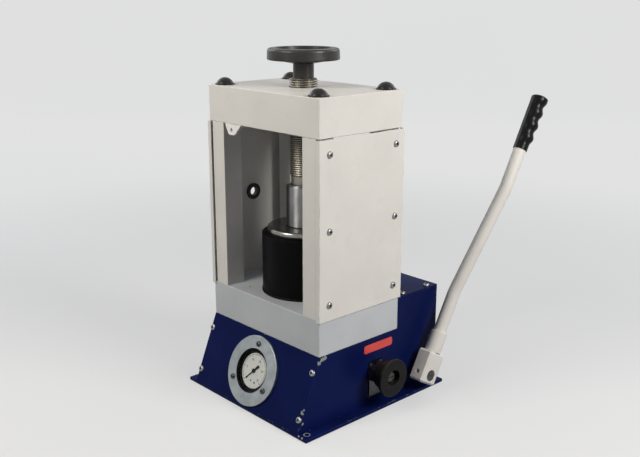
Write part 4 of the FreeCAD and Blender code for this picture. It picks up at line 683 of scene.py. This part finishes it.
def set_heads(head, spots):
    """Copies of a head, each at a spot with an outward direction and a turn, in one mesh."""
    heads = bmesh.new()
    for spot, outward, turn in spots:
        before = len(heads.verts)
        heads.from_mesh(head)
        heads.verts.ensure_lookup_table()
        matrix = (Matrix.Translation(Vector(spot) * MM)
                  @ Vector(outward).to_track_quat("Z", "Y").to_matrix().to_4x4()
                  @ Matrix.Rotation(turn, 4, "Z"))
        bmesh.ops.transform(heads, matrix=matrix, verts=heads.verts[before:])
    return heads


PANEL_LEAN = 39.0
panel_low, panel_high = corners("front_panel")
panel_slope = math.atan2(panel_high.z - panel_low.z, PANEL_LEAN)
panel_out = (0, -math.sin(panel_slope), math.cos(panel_slope))


def on_panel(across, up, out=0.0):
    """A spot on the slanted panel, in millimetres."""
    return (across, panel_low.y + up * math.cos(panel_slope) + out * panel_out[1],
            panel_low.z + up * math.sin(panel_slope) + out * panel_out[2])


# painted shade mixed with grime: a near-black finish for the inside of each cross and slot
recess_shade_and_dirt, tree, shader, place = begin("painted_recess_shade_and_dirt", IOR=1.45, Specular_IOR_Level=0.3)
surface(tree, shader, uneven_colour(tree, place, 1, "#0B0A09", "#1A1815"),
        mottle(tree, place, 1, 0.55, 0.8))

plated_screw, tree, shader, place = begin("plated_screw_head", Metallic=1.0)
# painted shade mixed with grime: ambient occlusion darkens the head where it is hemmed in
crevice = add(tree, "ShaderNodeAmbientOcclusion", {"samples": 6, "only_local": True},
              Distance=1.6 * MM)
crevice_shade_and_dirt = add(tree, "ShaderNodeMapRange", Value=crevice.outputs["AO"], From_Min=0.35, From_Max=0.8,
           To_Min=0.85, To_Max=0.0).outputs["Result"]
colour = uneven_colour(tree, place, 4, "#7C7D7E", "#9E9F9F")
colour = add(tree, "ShaderNodeMix", RGBA, Factor=crevice_shade_and_dirt, _6=colour, _7="#1B1915").outputs[2]
surface(tree, shader, colour, mottle(tree, place, 3, 0.26, 0.42))
relief(tree, shader, mottle(tree, place, 0.9, detail=2.0), 0.01, 0.2)

# The rises of the rear wall's screws are shares of its height, and the rest are millimetres.
PANEL_SCREW_ACROSS = 108.45
PANEL_SCREW_RISES = (19.5, 83.0)
REAR_SCREW_INSET = 7.0
REAR_SCREW_MARGIN = 16.0
REAR_SCREW_RISES = (0.2, 0.8)
SIDE_SCREW_ALONG = 60.0
SIDE_SCREW_MIDDLE = 269.5
SIDE_SCREW_PITCH = 98.0
rear_low, rear_high = corners("rear_cover")
cover_face = corners("side_cover_right")[1].x
rear_across = rear_high.x - REAR_SCREW_INSET
cross_head = screw_head(HEAD_RADIUS, HEAD_HEIGHT)
spots = []
for side in (-1, 1):
    for up in PANEL_SCREW_RISES:
        spots.append((on_panel(side * PANEL_SCREW_ACROSS, up), panel_out, 0.7 + up + side))
    for back in (rear_low.y + REAR_SCREW_MARGIN, rear_high.y - REAR_SCREW_MARGIN):
        spots.append(((side * rear_across, back, rear_high.z), (0, 0, 1), 0.4 + back))
    for level in [share * rear_high.z for share in REAR_SCREW_RISES]:
        spots.append(((side * rear_across, rear_high.y, level), (0, 1, 0), 1.1 + level))
piece("panel_screw_heads", set_heads(cross_head, spots), [plated_screw, recess_shade_and_dirt], "frame",
      ["panel_screws"])
spots = [((side * cover_face, along, SIDE_SCREW_MIDDLE + rise), (side, 0, 0), 0.3 + rise + along)
         for side in (-1, 1) for along in (-SIDE_SCREW_ALONG, SIDE_SCREW_ALONG)
         for rise in (-SIDE_SCREW_PITCH, 0.0, SIDE_SCREW_PITCH)]
piece("side_cover_screw_heads", set_heads(cross_head, spots), [plated_screw, recess_shade_and_dirt], "frame",
      ["side_cover_screws"])

# Gauge flange
# A flat ring of aluminium, faced on the lathe and screwed to the slanted panel, so fine rings run
# round it and light gathers in two opposite fans. The rings are drawn 0.5 mm apart, since real
# ones of 0.1 mm are too fine to show.
GAUGE_RISE = 51.3
FACING_MARK = 0.5
gauge_centre = Vector(on_panel(0, GAUGE_RISE)) * MM
faced_aluminium, tree, shader, place = begin("faced_aluminium", Metallic=1.0)
local = add(tree, "ShaderNodeVectorMath", {"operation": "SUBTRACT"}, _0=place, _1=gauge_centre)
local = add(tree, "ShaderNodeVectorRotate", {"rotation_type": "X_AXIS", "invert": True},
            Vector=local.outputs[0], Angle=panel_slope)
flat = add(tree, "ShaderNodeVectorMath", {"operation": "MULTIPLY"}, _0=local.outputs[0],
           _1=(1.0, 1.0, 0.0))
out = add(tree, "ShaderNodeVectorMath", {"operation": "LENGTH"}, _0=flat.outputs[0])
rings = add(tree, "ShaderNodeTexNoise", {"noise_dimensions": "1D"}, W=out.outputs["Value"],
            Scale=1 / (FACING_MARK * MM), Detail=2.0)
surface(tree, shader, uneven_colour(tree, place, 14, "#8D9295", "#A4A9AB"),
        mottle(tree, place, 9, 0.3, 0.42))
relief(tree, shader, rings.outputs["Fac"], 0.04, 0.5)
dress(faced_aluminium, "gauge_flange")

# Gauge flange screws, release valve, knob screw and lever shaft
# Turned steel with a dark grey metal gleam. On the flange screws it is blackening from a hot salt
# bath and oil; on the valve body, its gland nut, the knob screw and the lever shaft it is mostly
# painted shade and painted dark reflection. The three flange screws have one slot each, painted
# dark inside as shade mixed with grime.
SLOT_HEAD_RADIUS = 4.0
SLOT_HEAD_HEIGHT = 2.6
FLANGE_THICK = 4.5
FLANGE_SCREW_CIRCLE = 38.0
dark_steel, tree, shader, place = begin("blackened_steel_and_painted_shade", Metallic=1.0)
surface(tree, shader, uneven_colour(tree, place, 3, "#3E3E40", "#5C5C5E"),
        mottle(tree, place, 3, 0.25, 0.4))
relief(tree, shader, mottle(tree, place, 0.9, detail=2.0), 0.01, 0.2)
# painted shade and painted dark reflection on the valve pieces, the knob screw and the lever shaft
dress(dark_steel, "valve_gland_nut", "valve_body", "knob_screw", "lever_shaft")
spots = []
for angle in (90, 210, 330):
    across = FLANGE_SCREW_CIRCLE * math.cos(math.radians(angle))
    up = GAUGE_RISE + FLANGE_SCREW_CIRCLE * math.sin(math.radians(angle))
    spots.append((on_panel(across, up, FLANGE_THICK), panel_out, 0.5 + angle))
slot_head = screw_head(SLOT_HEAD_RADIUS, SLOT_HEAD_HEIGHT, arms=False)
piece("gauge_screw_heads", set_heads(slot_head, spots), [dark_steel, recess_shade_and_dirt], "frame",
      ["gauge_flange_screws"])

# Gauge dial, scale and needle
# A thin aluminium disc painted off-white, with the scale and numbers printed on it in black ink,
# and a stamped steel needle with matt black paint. The print stands 0.06 mm high, thicker than
# real ink, so that it shows.
dial_paint, tree, shader, place = begin("off_white_dial_paint", IOR=1.5, Specular_IOR_Level=0.35)
surface(tree, shader, uneven_colour(tree, place, 15, "#E2E7E3", "#EAECE7"),
        mottle(tree, place, 6, 0.45, 0.6))
relief(tree, shader, mottle(tree, place, 1.5, detail=2.0), 0.01)
dress(dial_paint, "gauge_dial")

ink, tree, shader, place = begin("black_dial_ink", IOR=1.5, Specular_IOR_Level=0.2)
surface(tree, shader, uneven_colour(tree, place, 3, "#0E0F10", "#1B1C1D"),
        mottle(tree, place, 4, 0.5, 0.7))
dress(ink, "gauge_needle")

DIAL_DEPTH = 0.9
INK_HEIGHT = 0.06
INK_GAP = 0.01
SCALE_START = 229.0
SCALE_SWEEP = 270.0
TICKS = 50
TICK_OUTER = 22.9
LONG_TICK_INNER = 19.4
MIDDLE_TICK_INNER = 20.8
SHORT_TICK_INNER = 21.5
LONG_TICK_WIDTH = 0.45
TICK_WIDTH = 0.25
ARC_INNER = 22.8
ARC_OUTER = 23.1
ARC_STEPS = 90
ARC_RADIUS = 23.0
ARC_OVERLAP = 1.02
NUMBERS = 6
NUMBER_CIRCLE = 16.0
NUMBER_SIZE = 4.8
NUMBER_STEP = 5
PIN_CIRCLE = 16.9
STUD_STEPS = 24
dial_frame = Matrix.Translation(gauge_centre) @ Matrix.Rotation(panel_slope, 4, "X")
shape = bmesh.new()


def dial_bar(inner, outer, width, degrees):
    """A printed bar on the dial between two radii."""
    for vert in bmesh.ops.create_cube(shape, size=1.0)["verts"]:
        vert.co = Vector(((inner + outer) / 2 + vert.co.x * (outer - inner), vert.co.y * width,
                          INK_HEIGHT * vert.co.z + 0.5 * INK_HEIGHT + INK_GAP - DIAL_DEPTH)) * MM
        vert.co.rotate(Matrix.Rotation(math.radians(degrees), 3, "Z"))


for tick in range(TICKS + 1):
    degrees = SCALE_START - SCALE_SWEEP * tick / TICKS
    long = tick % 10 == 0
    inner = LONG_TICK_INNER if long else MIDDLE_TICK_INNER if tick % 5 == 0 else SHORT_TICK_INNER
    dial_bar(inner, TICK_OUTER, LONG_TICK_WIDTH if long else TICK_WIDTH, degrees)
arc_bar = ARC_RADIUS * math.radians(SCALE_SWEEP / ARC_STEPS) * ARC_OVERLAP
for step in range(ARC_STEPS):
    dial_bar(ARC_INNER, ARC_OUTER, arc_bar, SCALE_START - SCALE_SWEEP * (step + 0.5) / ARC_STEPS)
# Two dots below the centre and the pin that stops the needle at zero, each with its place across
# and up, its radius and its height.
pin_turn = math.radians(SCALE_START)
for across, up, radius, height in (
    (-1.5, -14.3, 1.1, 0.3),
    (6.7, -15.4, 1.4, 0.3),
    (PIN_CIRCLE * math.cos(pin_turn), PIN_CIRCLE * math.sin(pin_turn), 1.5, 0.5),
):
    rings = turned(shape, [(0, 0), (radius, 0), (radius, 0.7 * height), (0.8 * radius, height),
                           (0, height)], STUD_STEPS)
    for vert in [v for around in rings for v in around]:
        vert.co += Vector((across, up, INK_GAP - DIAL_DEPTH)) * MM
bmesh.ops.transform(shape, matrix=dial_frame, verts=shape.verts)
for number in range(NUMBERS):
    angle = math.radians(SCALE_START - SCALE_SWEEP * number / (NUMBERS - 1))
    text = bpy.data.curves.new("dial_number", "FONT")
    text.body = str(NUMBER_STEP * number)
    text.size = NUMBER_SIZE * MM
    text.align_x = "CENTER"
    text.align_y = "CENTER"
    text.extrude = INK_HEIGHT / 2 * MM
    text.resolution_u = 3
    print_object = bpy.data.objects.new("dial_number", text)
    bpy.context.scene.collection.objects.link(print_object)
    bpy.context.view_layer.update()
    flat_mesh = bpy.data.meshes.new_from_object(
        print_object.evaluated_get(bpy.context.evaluated_depsgraph_get()))
    spot = Vector((NUMBER_CIRCLE * math.cos(angle), NUMBER_CIRCLE * math.sin(angle),
                   INK_HEIGHT / 2 + INK_GAP - DIAL_DEPTH)) * MM
    flat_mesh.transform(dial_frame @ Matrix.Translation(spot))
    shape.from_mesh(flat_mesh)
    bpy.data.objects.remove(print_object)
piece("dial_scale", shape, [ink], "frame", [], smooth=0)

# Gauge glass
# A flat disc of window glass, cut and held behind the flange by the black ring. It is thin, so it
# shows mostly as a faint veil of reflections and takes a little light from the dial.
glass, tree, shader, place = begin("thin_window_glass", IOR=1.5, Alpha=0.05,
                                  Specular_IOR_Level=0.5)
surface(tree, shader, uneven_colour(tree, place, 12, "#1E2423", "#262C2B"),
        mottle(tree, place, 10, 0.02, 0.08))
dress(glass, "gauge_window")

# Lever grip
# A sleeve of soft vinyl, dipped and moulded in place over the tube's end, with finger ridges on
# one side. It is glossy black, and hands have left it slightly cloudy in places.
vinyl, tree, shader, place = begin("glossy_black_vinyl", IOR=1.53, Specular_IOR_Level=0.13)
surface(tree, shader, uneven_colour(tree, place, 12, "#070708", "#0F0F10"),
        mottle(tree, place, 9, 0.2, 0.28))
relief(tree, shader, mottle(tree, place, 2.5, detail=2.0), 0.015)
dress(vinyl, "lever_grip")
